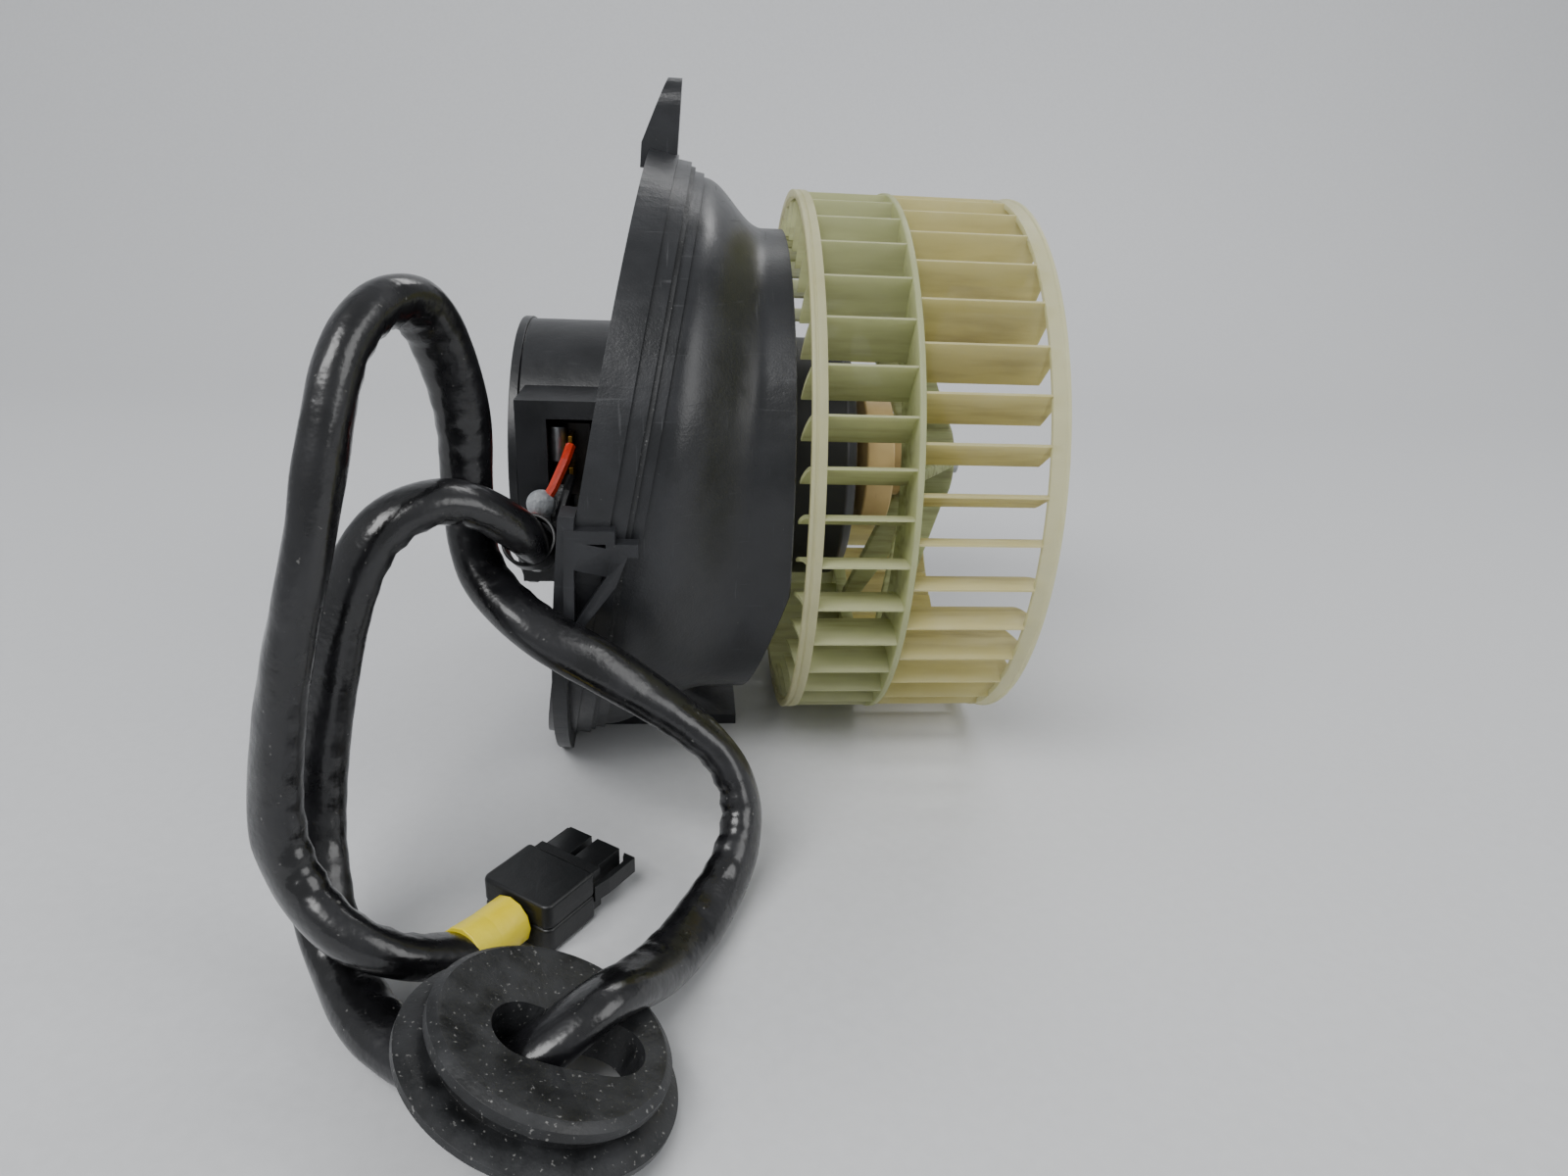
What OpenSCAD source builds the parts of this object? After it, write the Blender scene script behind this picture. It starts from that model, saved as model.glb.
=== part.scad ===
// Cabin heater blower: a double-inlet fan wheel on a brushed motor, in a mounting flange
// with an air funnel, and a sleeved lead that runs through a bulkhead grommet to a plug.
// +X points along the wheel's axis away from the motor, +Z is up, and the origin is on the
// supporting surface under the middle of the blower. Places along the axis are counted
// from the wheel's motor-side face.

/* [Fan wheel] */
// Outer diameter of the fan wheel
wheel_d = 150; // [120:1:160]
// Width of the fan wheel along its axis
wheel_w = 61; // [50:1:75]
// Gap between the wheel's rim and the supporting surface
wheel_lift = 1; // [0.5:0.5:8]
// Number of blades in each of the two rows
blade_count = 39; // [24:1:48]
// Thickness of a blade
blade_t = 1; // [0.8:0.1:1.6]
// Radial depth of a blade
blade_depth = 12.5; // [9:0.5:15]
// How far a blade's outer edge leads its root, in degrees around the axis
blade_lead = 3.7; // [1:0.1:7]
// Camber of a blade, in degrees around the axis
blade_camber = 1.1; // [0:0.1:2.5]
// Radial thickness of the two rim bands
band_t = 2; // [1.2:0.1:3]
// Width of the rim band on the motor side
band_motor_w = 3.7; // [2.5:0.1:6]
// Width of the rim band on the free side
band_free_w = 4.4; // [2.5:0.1:6]
// Place of the dividing disc along the axis
disc_s = 24.9; // [20:0.1:32]
// Thickness of the dividing disc
disc_t = 1.6; // [1:0.1:3]
// Number of spokes between the dividing disc and the hub
spoke_count = 6; // [4:1:9]
// Thickness of a spoke
spoke_t = 3; // [2:0.5:5]
// Outer diameter of the wheel's hub
hub_d = 24; // [20:1:30]

/* [Mounting flange] */
// Outer diameter of the flange's rear rim
flange_d = 167; // [156:1:176]
// Tilt of the flange against the wheel, in degrees
flange_tilt = 10.4; // [0:0.1:15]
// Place of the middle of the flange's edge along the axis
flange_s = -45.9; // [-48:0.1:-40]
// Thickness of the rear rim
rim_t = 7.5; // [6:0.1:12]
// Thickness of the second step of the edge
step_t = 3.7; // [3:0.1:7]
// Width of the seal groove
groove_w = 1.2; // [1:0.1:2]
// Thickness of the front step, which carries the funnel
front_t = 2.5; // [2:0.1:5]
// Thickness of the flange's closed plate
plate_t = 3; // [2:0.5:4]
// Height of the locating tab above the rim
tab_h = 17.5; // [10:0.5:26]
// Width of the locating tab across the blower
tab_w = 16; // [10:1:24]
// Thickness of the foot under the funnel
foot_t = 3; // [2:0.5:4]
// Width of the foot across the blower
foot_w = 56; // [40:1:60]

/* [Air funnel] */
// Outer diameter of the funnel's collar
collar_d = 129; // [120:1:134]
// Wall of the funnel
funnel_wall = 2.2; // [1.6:0.1:3]
// Gap between the collar and the wheel
collar_gap = 2.3; // [1.5:0.1:5]
// Depth of the squared lower half of the collar below the axis
collar_drop = 56; // [48:1:60]

/* [Motor] */
// Outer diameter of the motor can
can_d = 70; // [64:1:72]
// Wall of the motor can
can_wall = 1.6; // [1:0.1:2.5]
// Diameter of the motor shaft
shaft_d = 8; // [6:0.5:9]
// Thickness of a field magnet
magnet_t = 3.6; // [2.5:0.1:5]
// Number of slots in the armature and bars on the commutator
slot_count = 12; // [8:1:16]
// Diameter of the commutator
commutator_d = 22; // [18:1:26]
// Width of a brush along the axis
brush_w = 7; // [5:0.5:8]
// Length of a brush
brush_l = 11; // [8:0.5:12]

/* [Rear cover and terminal box] */
// Gap between the motor can and the inside of the rear cover
cover_gap = 1; // [0.5:0.1:3]
// Wall of the rear cover and of the terminal box
cover_wall = 2; // [1.5:0.1:2.2]
// Distance from the wheel's motor-side face to the rear cover's end
rear_reach = 74; // [70:1:84]
// Height of the terminal box
box_h = 47; // [40:1:50]
// Reach of the terminal box beyond the rear cover towards the front
box_reach = 10; // [8:1:16]

/* [Lead] */
// Outer diameter of the lead's sleeve
sleeve_d = 10; // [8:0.5:11]
// Outer diameter of the grommet
grommet_d = 50; // [44:1:56]
// Width of the plug's body
plug_w = 19; // [17:1:24]
// Height of the plug's body
plug_h = 12; // [11:0.5:13]

/* [Hidden] */

// Overall places
wheel_x = (rear_reach - wheel_w) / 2;
guard_rise = 3;
axis_y = guard_rise / 2;
axis_z = wheel_d / 2 + wheel_lift;
round_fn = 96;
slack = 0.1;
running = 0.04;
far = 400;

// Fan wheel
wheel_r = wheel_d / 2;
band_r = wheel_r - band_t;
blade_r = wheel_r - 0.4;
root_r = wheel_r - blade_depth;
pitch = 360 / blade_count;
end_slant = 3;

// Flange
rim_r = flange_d / 2;
step_r = rim_r - 1;
seal_r = rim_r - 4;
front_r = rim_r - 3;
rim_wall = 3.5;
plate_in = 3;
flange_t = rim_t + step_t + groove_w + front_t;
front_s = flange_s + flange_t / 2 / cos(flange_tilt);
tab_base_w = 8.4;
tab_tip_w = 3.6;
floor_z = -axis_z;
foot_end = -13;
leg_w = 30;

// Funnel
collar_r = collar_d / 2;
funnel_start_r = front_r - 1;
flare_part = 0.75;
squareness = 2 / 4.5;
cut_top = -19;
cut_slope = 0.33;
foot_gap = 0.5;

// Motor
can_rear = -56;
can_front = 18;
can_r = can_d / 2;
can_in = can_r - can_wall;
air_gap = 0.8;
core_d = 2 * (can_in - magnet_t - air_gap);
boss_r = 10;
bearing_r = 8;
bearing_l = 9;
plate_s = -54;
end_t = 2;
core_front = 0;
core_rear = -28;
comm_rear = -51;
comm_front = -40;
comm_r = commutator_d / 2;
brush_s = -49;
brush_d = 6;
holder_wall = 0.8;
holder_top = comm_r + brush_l + 7;
spring_gap = 0.1;
brush_gap = 0.05;

// Rear cover and box
cover_d = can_d + 2 * (cover_gap + cover_wall);
cover_r = cover_d / 2;
cover_front = -44;
socket_wall = 3;
socket_front = -8;
ring_l = 8;
lip_w = 2.4;
box_top = 25;
box_s = -rear_reach + 4;
box_front_y = -(cover_r + box_reach);
block_y = -(cover_r + 2);
strip_w = 8;

// Plug frame
plug_at = [-63.8, -118, plug_h / 2 + 0.6];
plug_turn = 54;
plug_l = 14.5;

// The lead's route: where it leaves the bracket, down to the grommet, out of it along the
// surface, up in front of the flange, over the top bend and down again to the plug. Its
// points are counted from the wheel's motor-side face, so that it follows the housing.
route = [
    [-62.2, -72, 72.4], [-64.5, -84.4, 81.3], [-74.5, -92.6, 90], [-85.5, -100, 88.2],
    [-92.5, -103.9, 78.1], [-97.7, -106.9, 61.3], [-101.3, -109.9, 43.3],
    [-102.3, -115.8, 26.4], [-99.3, -124.4, 14.4], [-92.9, -134.6, 8.2],
    [-85.2, -145.5, 6.5], [-74.1, -154.8, 7], [-62.8, -161, 8.6], [-51.9, -160.3, 14.2],
    [-42.8, -153.4, 17.4], [-36.9, -144.4, 12.7], [-31.1, -133.3, 8], [-23.6, -118.9, 7],
    [-17.3, -106, 10.1], [-15, -96.7, 18], [-19.7, -91.9, 29.1], [-32.2, -90.3, 40.6],
    [-47.4, -90.9, 52], [-61.2, -90, 60.8], [-73.4, -80.7, 70.3], [-76.1, -74.8, 85.6],
    [-75.6, -75.5, 101.9], [-76.6, -82.7, 117.4], [-79, -91.5, 128], [-83.5, -101.8, 128.7],
    [-87.4, -111.5, 121.2], [-89.9, -118.3, 106.7], [-93.3, -122.5, 89.7],
    [-97.9, -125, 72.3], [-101.4, -127.7, 54.4], [-102.4, -131.1, 38.1],
    [-98.3, -134.1, 27.4], [-90.9, -138.8, 21.3], [-81.1, -138.2, 14.7], [-72.3, -130.3, 8]
];
yellow_route = [
    [-72.3, -130.3, 8], [-68.7, -125.1, 7], [-64.3, -118.9, 6.8]
];
red_route = [
    [-57, -45, 89.5], [-57.9, -49, 86.9], [-60.7, -52, 80.8], [-64.6, -55, 74.7],
    [-66.5, -61, 71.6], [-64.3, -67, 71.5], [-62.2, -71.5, 73.4]
];
black_route = [
    [-57, -45, 81.5], [-57.8, -49, 78.9], [-59.7, -53, 72.8], [-60.5, -59, 68.6],
    [-61.4, -65, 69.5], [-61.2, -71, 70.9]
];

// Direction helpers
function unit(v) = v / norm(v);
function heading(p, i) = unit(p[min(i + 1, len(p) - 1)] - p[max(i - 1, 0)]);
function square_to(v, t) = unit(v - t * (v * t));
function sides(p, v, i = 0) =
    i == len(p) ? [] :
    let (s = square_to(v, heading(p, i))) concat([s], sides(p, s, i + 1));

// A round tube along a list of points, as one closed polyhedron
module swept(p, r, n = 8, start = [0, 0, 1]) {
    side = sides(p, start);
    points = [
        for (i = [0:len(p) - 1], k = [0:n - 1])
            let (a = 360 * k / n, t = heading(p, i))
                p[i] + r * (cos(a) * side[i] + sin(a) * cross(t, side[i]))
    ];
    walls = [
        for (i = [0:len(p) - 2], k = [0:n - 1])
            let (a = i * n + k, b = i * n + (k + 1) % n)
                each [[a, a + n, b + n], [a, b + n, b]]
    ];
    first = [for (k = [0:n - 1]) k];
    last = [for (k = [n - 1:-1:0]) (len(p) - 1) * n + k];
    polyhedron(points, concat(walls, [first, last]), convexity = 10);
}

// Frames: on the wheel's axis, and in the flange's tilted plane
module on_axis() translate([wheel_x, axis_y, axis_z]) children();
module beside_wheel() translate([wheel_x, 0, 0]) children();
module in_flange()
    translate([flange_s, 0, 0]) rotate([0, flange_tilt, 0])
        translate([-flange_t / 2, 0, 0]) children();

// A rod, a turned solid and an extruded outline along the axis
module rod(d, from, to)
    translate([from, 0, 0]) rotate([0, 90, 0]) cylinder(d = d, h = to - from, $fn = round_fn);
module turned(outline) rotate([0, 90, 0]) rotate_extrude($fn = round_fn) polygon(outline);
module across(from, to)
    translate([from, 0, 0]) rotate([90, 0, 90]) linear_extrude(to - from) children();
module pipe(outer, inner, from, to)
    difference() {
        rod(outer, from, to);
        rod(inner, from - 1, to + 1);
    }
module block(from, to)
    translate(from) cube(to - from);
module below_floor() translate([-far / 2, -far / 2, floor_z - far]) cube(far);
module ahead_of_plate() in_flange() translate([plate_in, -far / 2, -far / 2]) cube(far);

// ---- Mounting flange ----
module flange_edge()
    in_flange() turned([
        [0, plate_in], [rim_r - rim_wall, plate_in], [rim_r - rim_wall, 0], [rim_r, 0],
        [rim_r, rim_t], [step_r, rim_t], [step_r, rim_t + step_t], [seal_r, rim_t + step_t],
        [seal_r, rim_t + step_t + groove_w], [front_r, rim_t + step_t + groove_w],
        [front_r, flange_t], [funnel_start_r - 4, flange_t],
        [funnel_start_r - 4, plate_in + plate_t], [0, plate_in + plate_t]
    ]);
module tab() {
    right = flange_s + 14.4;
    left = right - tab_base_w;
    intersection() {
        translate([0, tab_w, 0]) rotate([90, 0, 0]) linear_extrude(2 * tab_w)
            polygon([
                [left - 1, rim_r - 5], [right, rim_r - 5], [right + 1.5, rim_r + tab_h - 0.5],
                [right + 1.5 - tab_tip_w, rim_r + tab_h - 0.5], [left - 0.6, rim_r + 1]
            ]);
        across(left - 10, right + 10) {
            translate([-tab_w / 2, 0]) square([tab_w, rim_r + tab_h - 0.5 - tab_w / 2]);
            translate([0, rim_r + tab_h - 0.5 - tab_w / 2]) circle(d = tab_w, $fn = 48);
        }
    }
}
module foot()
    block([-axis_z * tan(flange_tilt) + flange_s - 4, -foot_w / 2, floor_z],
          [foot_end, foot_w / 2, floor_z + foot_t]);
module leg()
    block([-axis_z * tan(flange_tilt) + flange_s - 2, -leg_w / 2, floor_z],
          [-axis_z * tan(flange_tilt) + flange_s + 4, leg_w / 2, -cover_r - socket_wall - 8]);
module motor_socket() rod(cover_d + 2 * socket_wall, flange_s - 12, socket_front);
module mounting_flange() color("#1d1e20") on_axis()
    difference() {
        union() {
            flange_edge();
            tab();
            foot();
            leg();
            difference() {
                motor_socket();
                in_flange() translate([plate_in - far, -far / 2, -far / 2]) cube(far);
            }
        }
        rod(cover_d + 2 * slack, -rear_reach - 10, 0);
        below_floor();
    }
module flange_seal() color("#101010") on_axis()
    difference() {
        in_flange() turned([
            [seal_r, rim_t + step_t], [step_r - 1, rim_t + step_t],
            [step_r - 1, rim_t + step_t + groove_w], [seal_r, rim_t + step_t + groove_w]
        ]);
        foot();
        below_floor();
    }

// ---- Air funnel: a shell lofted from the tilted flange to the squared collar ----
function plane_s(z) = front_s + z * tan(flange_tilt);
function lift_to(z, inset) = max(z, floor_z + foot_t + foot_gap + inset);
function start_point(a, inset) =
    let (
        r = funnel_start_r - inset,
        z = lift_to(r * sin(a) * cos(flange_tilt) - flange_t / 2 * sin(flange_tilt), inset)
    ) [plane_s(z), r * cos(a), z];
function collar_end(z) = -collar_gap - cut_slope * max(0, cut_top - z);
function collar_point(a, inset) =
    let (
        r = collar_r - inset,
        drop = collar_drop - inset,
        upper = [r * cos(a), r * sin(a)],
        lower = [
            r * sign(cos(a)) * pow(abs(cos(a)), squareness),
            -drop * pow(abs(sin(a)), squareness)
        ],
        yz = sin(a) >= 0 ? upper : lower
    ) [collar_end(yz.y), yz.x, yz.y];
function funnel_point(a, u, inset) =
    let (
        w = u < flare_part ? (1 + cos(180 * u / flare_part)) / 2 : 0,
        from = start_point(a, inset),
        to = collar_point(a, inset)
    ) [
        from.x + (to.x - from.x) * u,
        from.y * w + to.y * (1 - w),
        from.z * w + to.z * (1 - w)
    ];
module air_funnel() color("#232528") on_axis() {
    steps = 9;
    n = 72;
    outline = concat(
        [for (i = [0:steps]) [i / steps, 0]],
        [for (i = [steps:-1:0]) [i / steps, funnel_wall]]
    );
    rows = len(outline);
    points = [for (p = outline, k = [0:n - 1]) funnel_point(360 * k / n, p.x, p.y)];
    faces = [
        for (j = [0:rows - 1], k = [0:n - 1])
            let (
                a = j * n + k,
                b = j * n + (k + 1) % n,
                c = (j + 1) % rows * n + k,
                d = (j + 1) % rows * n + (k + 1) % n
            ) each [[a, c, d], [a, d, b]]
    ];
    polyhedron(points, faces, convexity = 10);
}

// ---- Cable bracket: a curved guard along the rim with two arms ----
module cable_bracket() color("#26282b") on_axis() {
    fin_t = 3.5;
    fin_r = rim_r + guard_rise;
    fin_s = flange_s - 8.8;
    difference() {
        union() {
            translate([fin_s, 0, 0]) rotate([0, flange_tilt / 2, 0])
                intersection() {
                    pipe(2 * fin_r, 2 * (fin_r - 8), -fin_t / 2, fin_t / 2);
                    translate([-fin_t, -fin_r - 1, -far]) cube([2 * fin_t, fin_r - 24, far + 8]);
                }
            block([fin_s, -fin_r, 2], [fin_s + 11, -rim_r + 4, 5]);
            block([fin_s + 9, -fin_r, -1], [fin_s + 16, -rim_r + 4, 2]);
            translate([0, -fin_r + 3, 0]) rotate([90, 0, 0]) linear_extrude(3)
                polygon([
                    [fin_s, 3], [fin_s + 14, 0], [fin_s + 11, -8],
                    [fin_s - 1, -24]
                ]);
        }
        // the opening in the web, the rim's own space and the floor
        translate([0, -fin_r + 4, 0]) rotate([90, 0, 0]) linear_extrude(5)
            polygon([
                [fin_s + 2, -4], [fin_s + 9, -5.5], [fin_s + 1.7, -17]
            ]);
        in_flange() turned([
            [0, 0], [rim_r, 0], [rim_r, rim_t], [step_r, rim_t], [step_r, flange_t + 3],
            [0, flange_t + 3]
        ]);
        below_floor();
    }
}

// ---- Rear cover ----
module cover_window()
    block([-62.5, -far, -12], [-53.5, 0, 12]);
module motor_cover() color("#191a1c") on_axis()
    difference() {
        union() {
            rod(cover_d, -rear_reach, cover_front);
            rod(cover_d + 1.2, -rear_reach, -rear_reach + lip_w);
        }
        rod(cover_d - 2 * cover_wall, -rear_reach + cover_wall, cover_front + 1);
        cover_window();
    }

// ---- Terminal box and what it holds ----
module box_space(inset, front)
    block([box_s + inset, box_front_y + front, box_top - box_h + inset],
          [-40, 0, box_top - inset]);
module terminal_box() color("#1b1c1e") on_axis()
    difference() {
        box_space(0, 0);
        difference() {
            box_space(cover_wall + 0.2, cover_wall + 0.2);
            block([-far, box_front_y, -far], [box_s + strip_w - 4.5, -far / 8, far]);
        }
        block([box_s + strip_w - 0.5, box_front_y - 1, box_top - box_h + 6],
              [0, box_front_y + cover_wall + 1, box_top - 4.5]);
        rod(cover_d + 2 * slack, -rear_reach - 1, 0);
        rod(cover_d + 1.2 + 2 * slack, -rear_reach - 1, -rear_reach + lip_w + slack);
        ahead_of_plate();
    }
module terminal_block() color("#2a2420") on_axis()
    difference() {
        block([-62.5, block_y, -1], [-52.5, block_y + 10, 18]);
        rod(cover_d + 2 * slack, -rear_reach, 0);
    }
module terminals() color("#b8924a") on_axis()
    for (z = [3, 11])
        block([-57.5, block_y - 6.5, z], [-56.5, block_y, z + 5]);
module suppressor() color("#8d9093") on_axis()
    translate([-60.5, block_y - 2.6, 9]) cylinder(d = 5, h = 9, $fn = 48);
module foam_block() color("#77797a") on_axis()
    block([-65.5, block_y - 5.6, -13], [-58.5, block_y, 2]);
module sealing_mastic() color("#9a9c9b") on_axis() {
    translate([-63.7, -54.5, 1]) sphere(d = 7, $fn = 24);
    translate([-66, -60, -4.4]) sphere(d = 5.5, $fn = 24);
}
module red_lead() color("#b5301f") beside_wheel() swept(red_route, 1.3);
module black_lead() color("#161616") beside_wheel() swept(black_route, 1.3);

// ---- Motor can, magnets and bearings ----
module motor_can() color("#222222") on_axis()
    difference() {
        union() {
            rod(can_d, can_rear, can_front - 3);
            turned([[0, can_front - 3], [can_r, can_front - 3], [can_r - 3, can_front],
                    [0, can_front]]);
        }
        rod(2 * can_in, can_rear - 1, can_front - 5);
        rod(2 * bearing_r, can_front - 6, can_front + 1);
    }
module isolator_rings() color("#141414") on_axis()
    for (s = [-38, socket_front - ring_l])
        pipe(cover_d + 2 * slack, can_d, s, s + ring_l);
module field_magnets() color("#3a3a3d") on_axis()
    for (side = [0, 180])
        across(core_rear - 4, core_front + 4)
            intersection() {
                difference() {
                    circle(r = can_in, $fn = round_fn);
                    circle(r = core_d / 2 + air_gap, $fn = round_fn);
                }
                rotate(side) polygon([[0, 0], [60, 35], [60, -35]]);
            }
module magnet_clips() color("#8f9296") on_axis()
    for (side = [90, 270])
        across(core_rear - 2, core_front + 2)
            intersection() {
                difference() {
                    circle(r = can_in, $fn = round_fn);
                    circle(r = can_in - 1, $fn = round_fn);
                }
                rotate(side) polygon([[0, 0], [60, 34], [60, -34]]);
            }
module bearing(from) pipe(2 * bearing_r, shaft_d + 2 * running, from, from + bearing_l);
module end_plate() color("#a4a7aa") on_axis()
    difference() {
        union() {
            rod(can_d, can_rear - end_t, can_rear);
            rod(2 * boss_r, can_rear - end_t - bearing_l + 1, can_rear - end_t);
        }
        rod(2 * bearing_r, can_rear - end_t - bearing_l - 1, can_rear + 1);
    }
module rear_bearing() color("#a5793f") on_axis() bearing(can_rear - end_t - bearing_l + 1);
module front_bearing() color("#a5793f") on_axis() bearing(can_front - bearing_l + 3);

// ---- Brush gear ----
module brush_outline(grow)
    translate([-brush_w / 2 - grow, -brush_d / 2 - grow])
        square([brush_w + 2 * grow, brush_d + 2 * grow]);
module on_brush(side)
    translate([brush_s + brush_w / 2, 0, 0]) mirror([0, 0, side < 0 ? 1 : 0]) children();
module brush_plate() color("#5b3a22") on_axis()
    pipe(2 * can_in, 24, plate_s, plate_s + 2.5);
module brush_holders() color("#b5904c") on_axis()
    for (side = [1, -1]) on_brush(side)
        difference() {
            union() {
                translate([0, 0, comm_r + 2]) linear_extrude(holder_top - comm_r - 2)
                    brush_outline(holder_wall + slack);
                block([plate_s + 2.5 - brush_s - brush_w / 2, -brush_d / 2, comm_r + 3],
                      [-brush_w / 2, brush_d / 2, holder_top]);
            }
            translate([0, 0, comm_r]) linear_extrude(holder_top - comm_r - holder_wall)
                brush_outline(slack);
        }
module brush(side) color("#2f2f31") on_axis() on_brush(side)
    translate([0, 0, comm_r + brush_gap]) linear_extrude(brush_l) brush_outline(0);
module upper_brush() brush(1);
module lower_brush() brush(-1);
module brush_spring(side) color("#9b9ea1") on_axis() on_brush(side) {
    from = comm_r + brush_gap + brush_l + 0.45;
    rise = holder_top - holder_wall - spring_gap - 0.35 - from;
    turns = 4;
    per_turn = 8;
    swept([
        for (i = [0:turns * per_turn])
            let (a = 360 * i / per_turn)
                [2 * cos(a), 2 * sin(a), from + rise * i / turns / per_turn]
    ], 0.35, 6);
}
module upper_spring() brush_spring(1);
module lower_spring() brush_spring(-1);
module choke_coils() color("#a8622e") on_axis()
    for (y = [-20, 20])
        translate([plate_s + 2.5, y, 0]) rotate([0, 90, 0]) {
            cylinder(d = 4, h = 14, $fn = 32);
            for (i = [0:6])
                translate([0, 0, 1.6 + i * 1.6]) cylinder(d = 7, h = 1.2, $fn = 32);
        }

// ---- Rotor ----
module motor_shaft() color("#b9bcbf") on_axis() rod(shaft_d, -68, 54);
module armature_core() color("#77797c") on_axis()
    across(core_rear, core_front)
        difference() {
            circle(d = core_d, $fn = round_fn);
            circle(d = shaft_d, $fn = 48);
            for (i = [0:slot_count - 1])
                rotate(360 * i / slot_count) {
                    translate([core_d / 2 - 7, 0]) circle(r = 3, $fn = 32);
                    translate([core_d / 2 - 7, -1]) square([10, 2]);
                }
        }
module armature_windings() color("#9a5a2a") on_axis() {
    outer = core_d / 2 - 3;
    turned([
        [comm_r + 1, core_rear - 8], [outer - 4, core_rear - 8], [outer, core_rear - 5],
        [outer, core_rear], [comm_r + 1, core_rear]
    ]);
    turned([
        [8, core_front], [outer, core_front], [outer, core_front + 4],
        [outer - 4, core_front + 7], [8, core_front + 7]
    ]);
}
module commutator() color("#b06c3a") on_axis()
    across(comm_rear, comm_front)
        difference() {
            circle(r = comm_r, $fn = round_fn);
            circle(d = shaft_d, $fn = 48);
            for (i = [0:slot_count - 1])
                rotate(360 * i / slot_count) translate([comm_r - 1.5, -0.3]) square([3, 0.6]);
        }
module thrust_washers() color("#d8d4c4") on_axis()
    for (s = [can_rear + 0.4, can_front - bearing_l + 1.6])
        pipe(14, shaft_d, s, s + 1);
module hub_insert() color("#c9b183") on_axis()
    difference() {
        turned([
            [0, 21.5], [15, 21.5], [20, 23], [20, 31], [hub_d / 2 - 1, 31],
            [hub_d / 2 - 1, 36], [0, 36]
        ]);
        rod(shaft_d, 0, 60);
    }
module hub_clip() color("#c4c7ca") on_axis() pipe(16, shaft_d, 50.5, 51.5);

// ---- Fan wheel ----
module wheel_disc() color("#b9b885") on_axis()
    difference() {
        union() {
            turned([
                [root_r - 4, disc_s - 0.8], [root_r, disc_s], [wheel_r, disc_s],
                [wheel_r, disc_s + disc_t], [root_r, disc_s + disc_t],
                [root_r - 4, disc_s + disc_t + 1.5]
            ]);
            rod(hub_d, 36, 50.5);
            for (i = [0:spoke_count - 1])
                rotate([360 * i / spoke_count + 20, 0, 0])
                    translate([0, spoke_t / 2, 0]) rotate([90, 0, 0]) linear_extrude(spoke_t)
                        polygon([
                            [disc_s, root_r - 1], [disc_s + disc_t + 1.5, root_r - 1],
                            [50, hub_d / 2 - 1], [50, 6], [37, 6], [37, hub_d / 2 - 1],
                            [disc_s - 0.8, root_r - 3.5]
                        ]);
        }
        rod(shaft_d, 0, 60);
    }
function blade_at(t) =
    let (
        r = root_r + (blade_r - root_r) * t,
        a = -blade_lead * t - blade_camber * 4 * t * (1 - t)
    ) r * [cos(a), sin(a)];
function blade_normal(t) =
    let (d = unit(blade_at(min(t + 0.01, 1)) - blade_at(max(t - 0.01, 0)))) [-d.y, d.x];
module blade_outline() {
    steps = 5;
    edge = [for (i = [0:steps]) i / steps];
    polygon(concat(
        [for (t = edge) blade_at(t) + blade_normal(t) * blade_t / 2],
        [for (i = [steps:-1:0]) blade_at(edge[i]) - blade_normal(edge[i]) * blade_t / 2]
    ));
}
module blade_row(from, to, phase)
    across(from, to)
        for (i = [0:blade_count - 1]) rotate(i * pitch + phase) blade_outline();
module motor_side_blades() color("#a9ad7c") on_axis()
    intersection() {
        blade_row(-2, disc_s, 5);
        turned([
            [root_r, 0.3 - end_slant / 2], [band_r, 0.3], [band_r, band_motor_w],
            [wheel_r + 1, band_motor_w], [wheel_r + 1, disc_s], [root_r, disc_s]
        ]);
    }
module free_side_blades() color("#c6bf86") on_axis()
    intersection() {
        blade_row(disc_s + disc_t, wheel_w, 5 + pitch / 2);
        turned([
            [root_r, disc_s + disc_t], [wheel_r + 1, disc_s + disc_t],
            [wheel_r + 1, wheel_w - band_free_w], [band_r, wheel_w - band_free_w],
            [band_r, wheel_w - 0.3], [root_r, wheel_w - 0.3 - end_slant]
        ]);
    }
module motor_side_band() color("#b5b482") on_axis()
    turned([
        [band_r, 0], [wheel_r, 0], [wheel_r, 0.9], [wheel_r - 0.3, 0.9],
        [wheel_r - 0.3, 1.5], [wheel_r, 1.5], [wheel_r, band_motor_w], [band_r, band_motor_w]
    ]);
module free_side_band() color("#c2bb88") on_axis()
    turned([
        [band_r, wheel_w - band_free_w], [wheel_r - 0.4, wheel_w - band_free_w],
        [wheel_r - 0.4, wheel_w - 1], [wheel_r, wheel_w - 1], [wheel_r, wheel_w],
        [band_r, wheel_w]
    ]);

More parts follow.
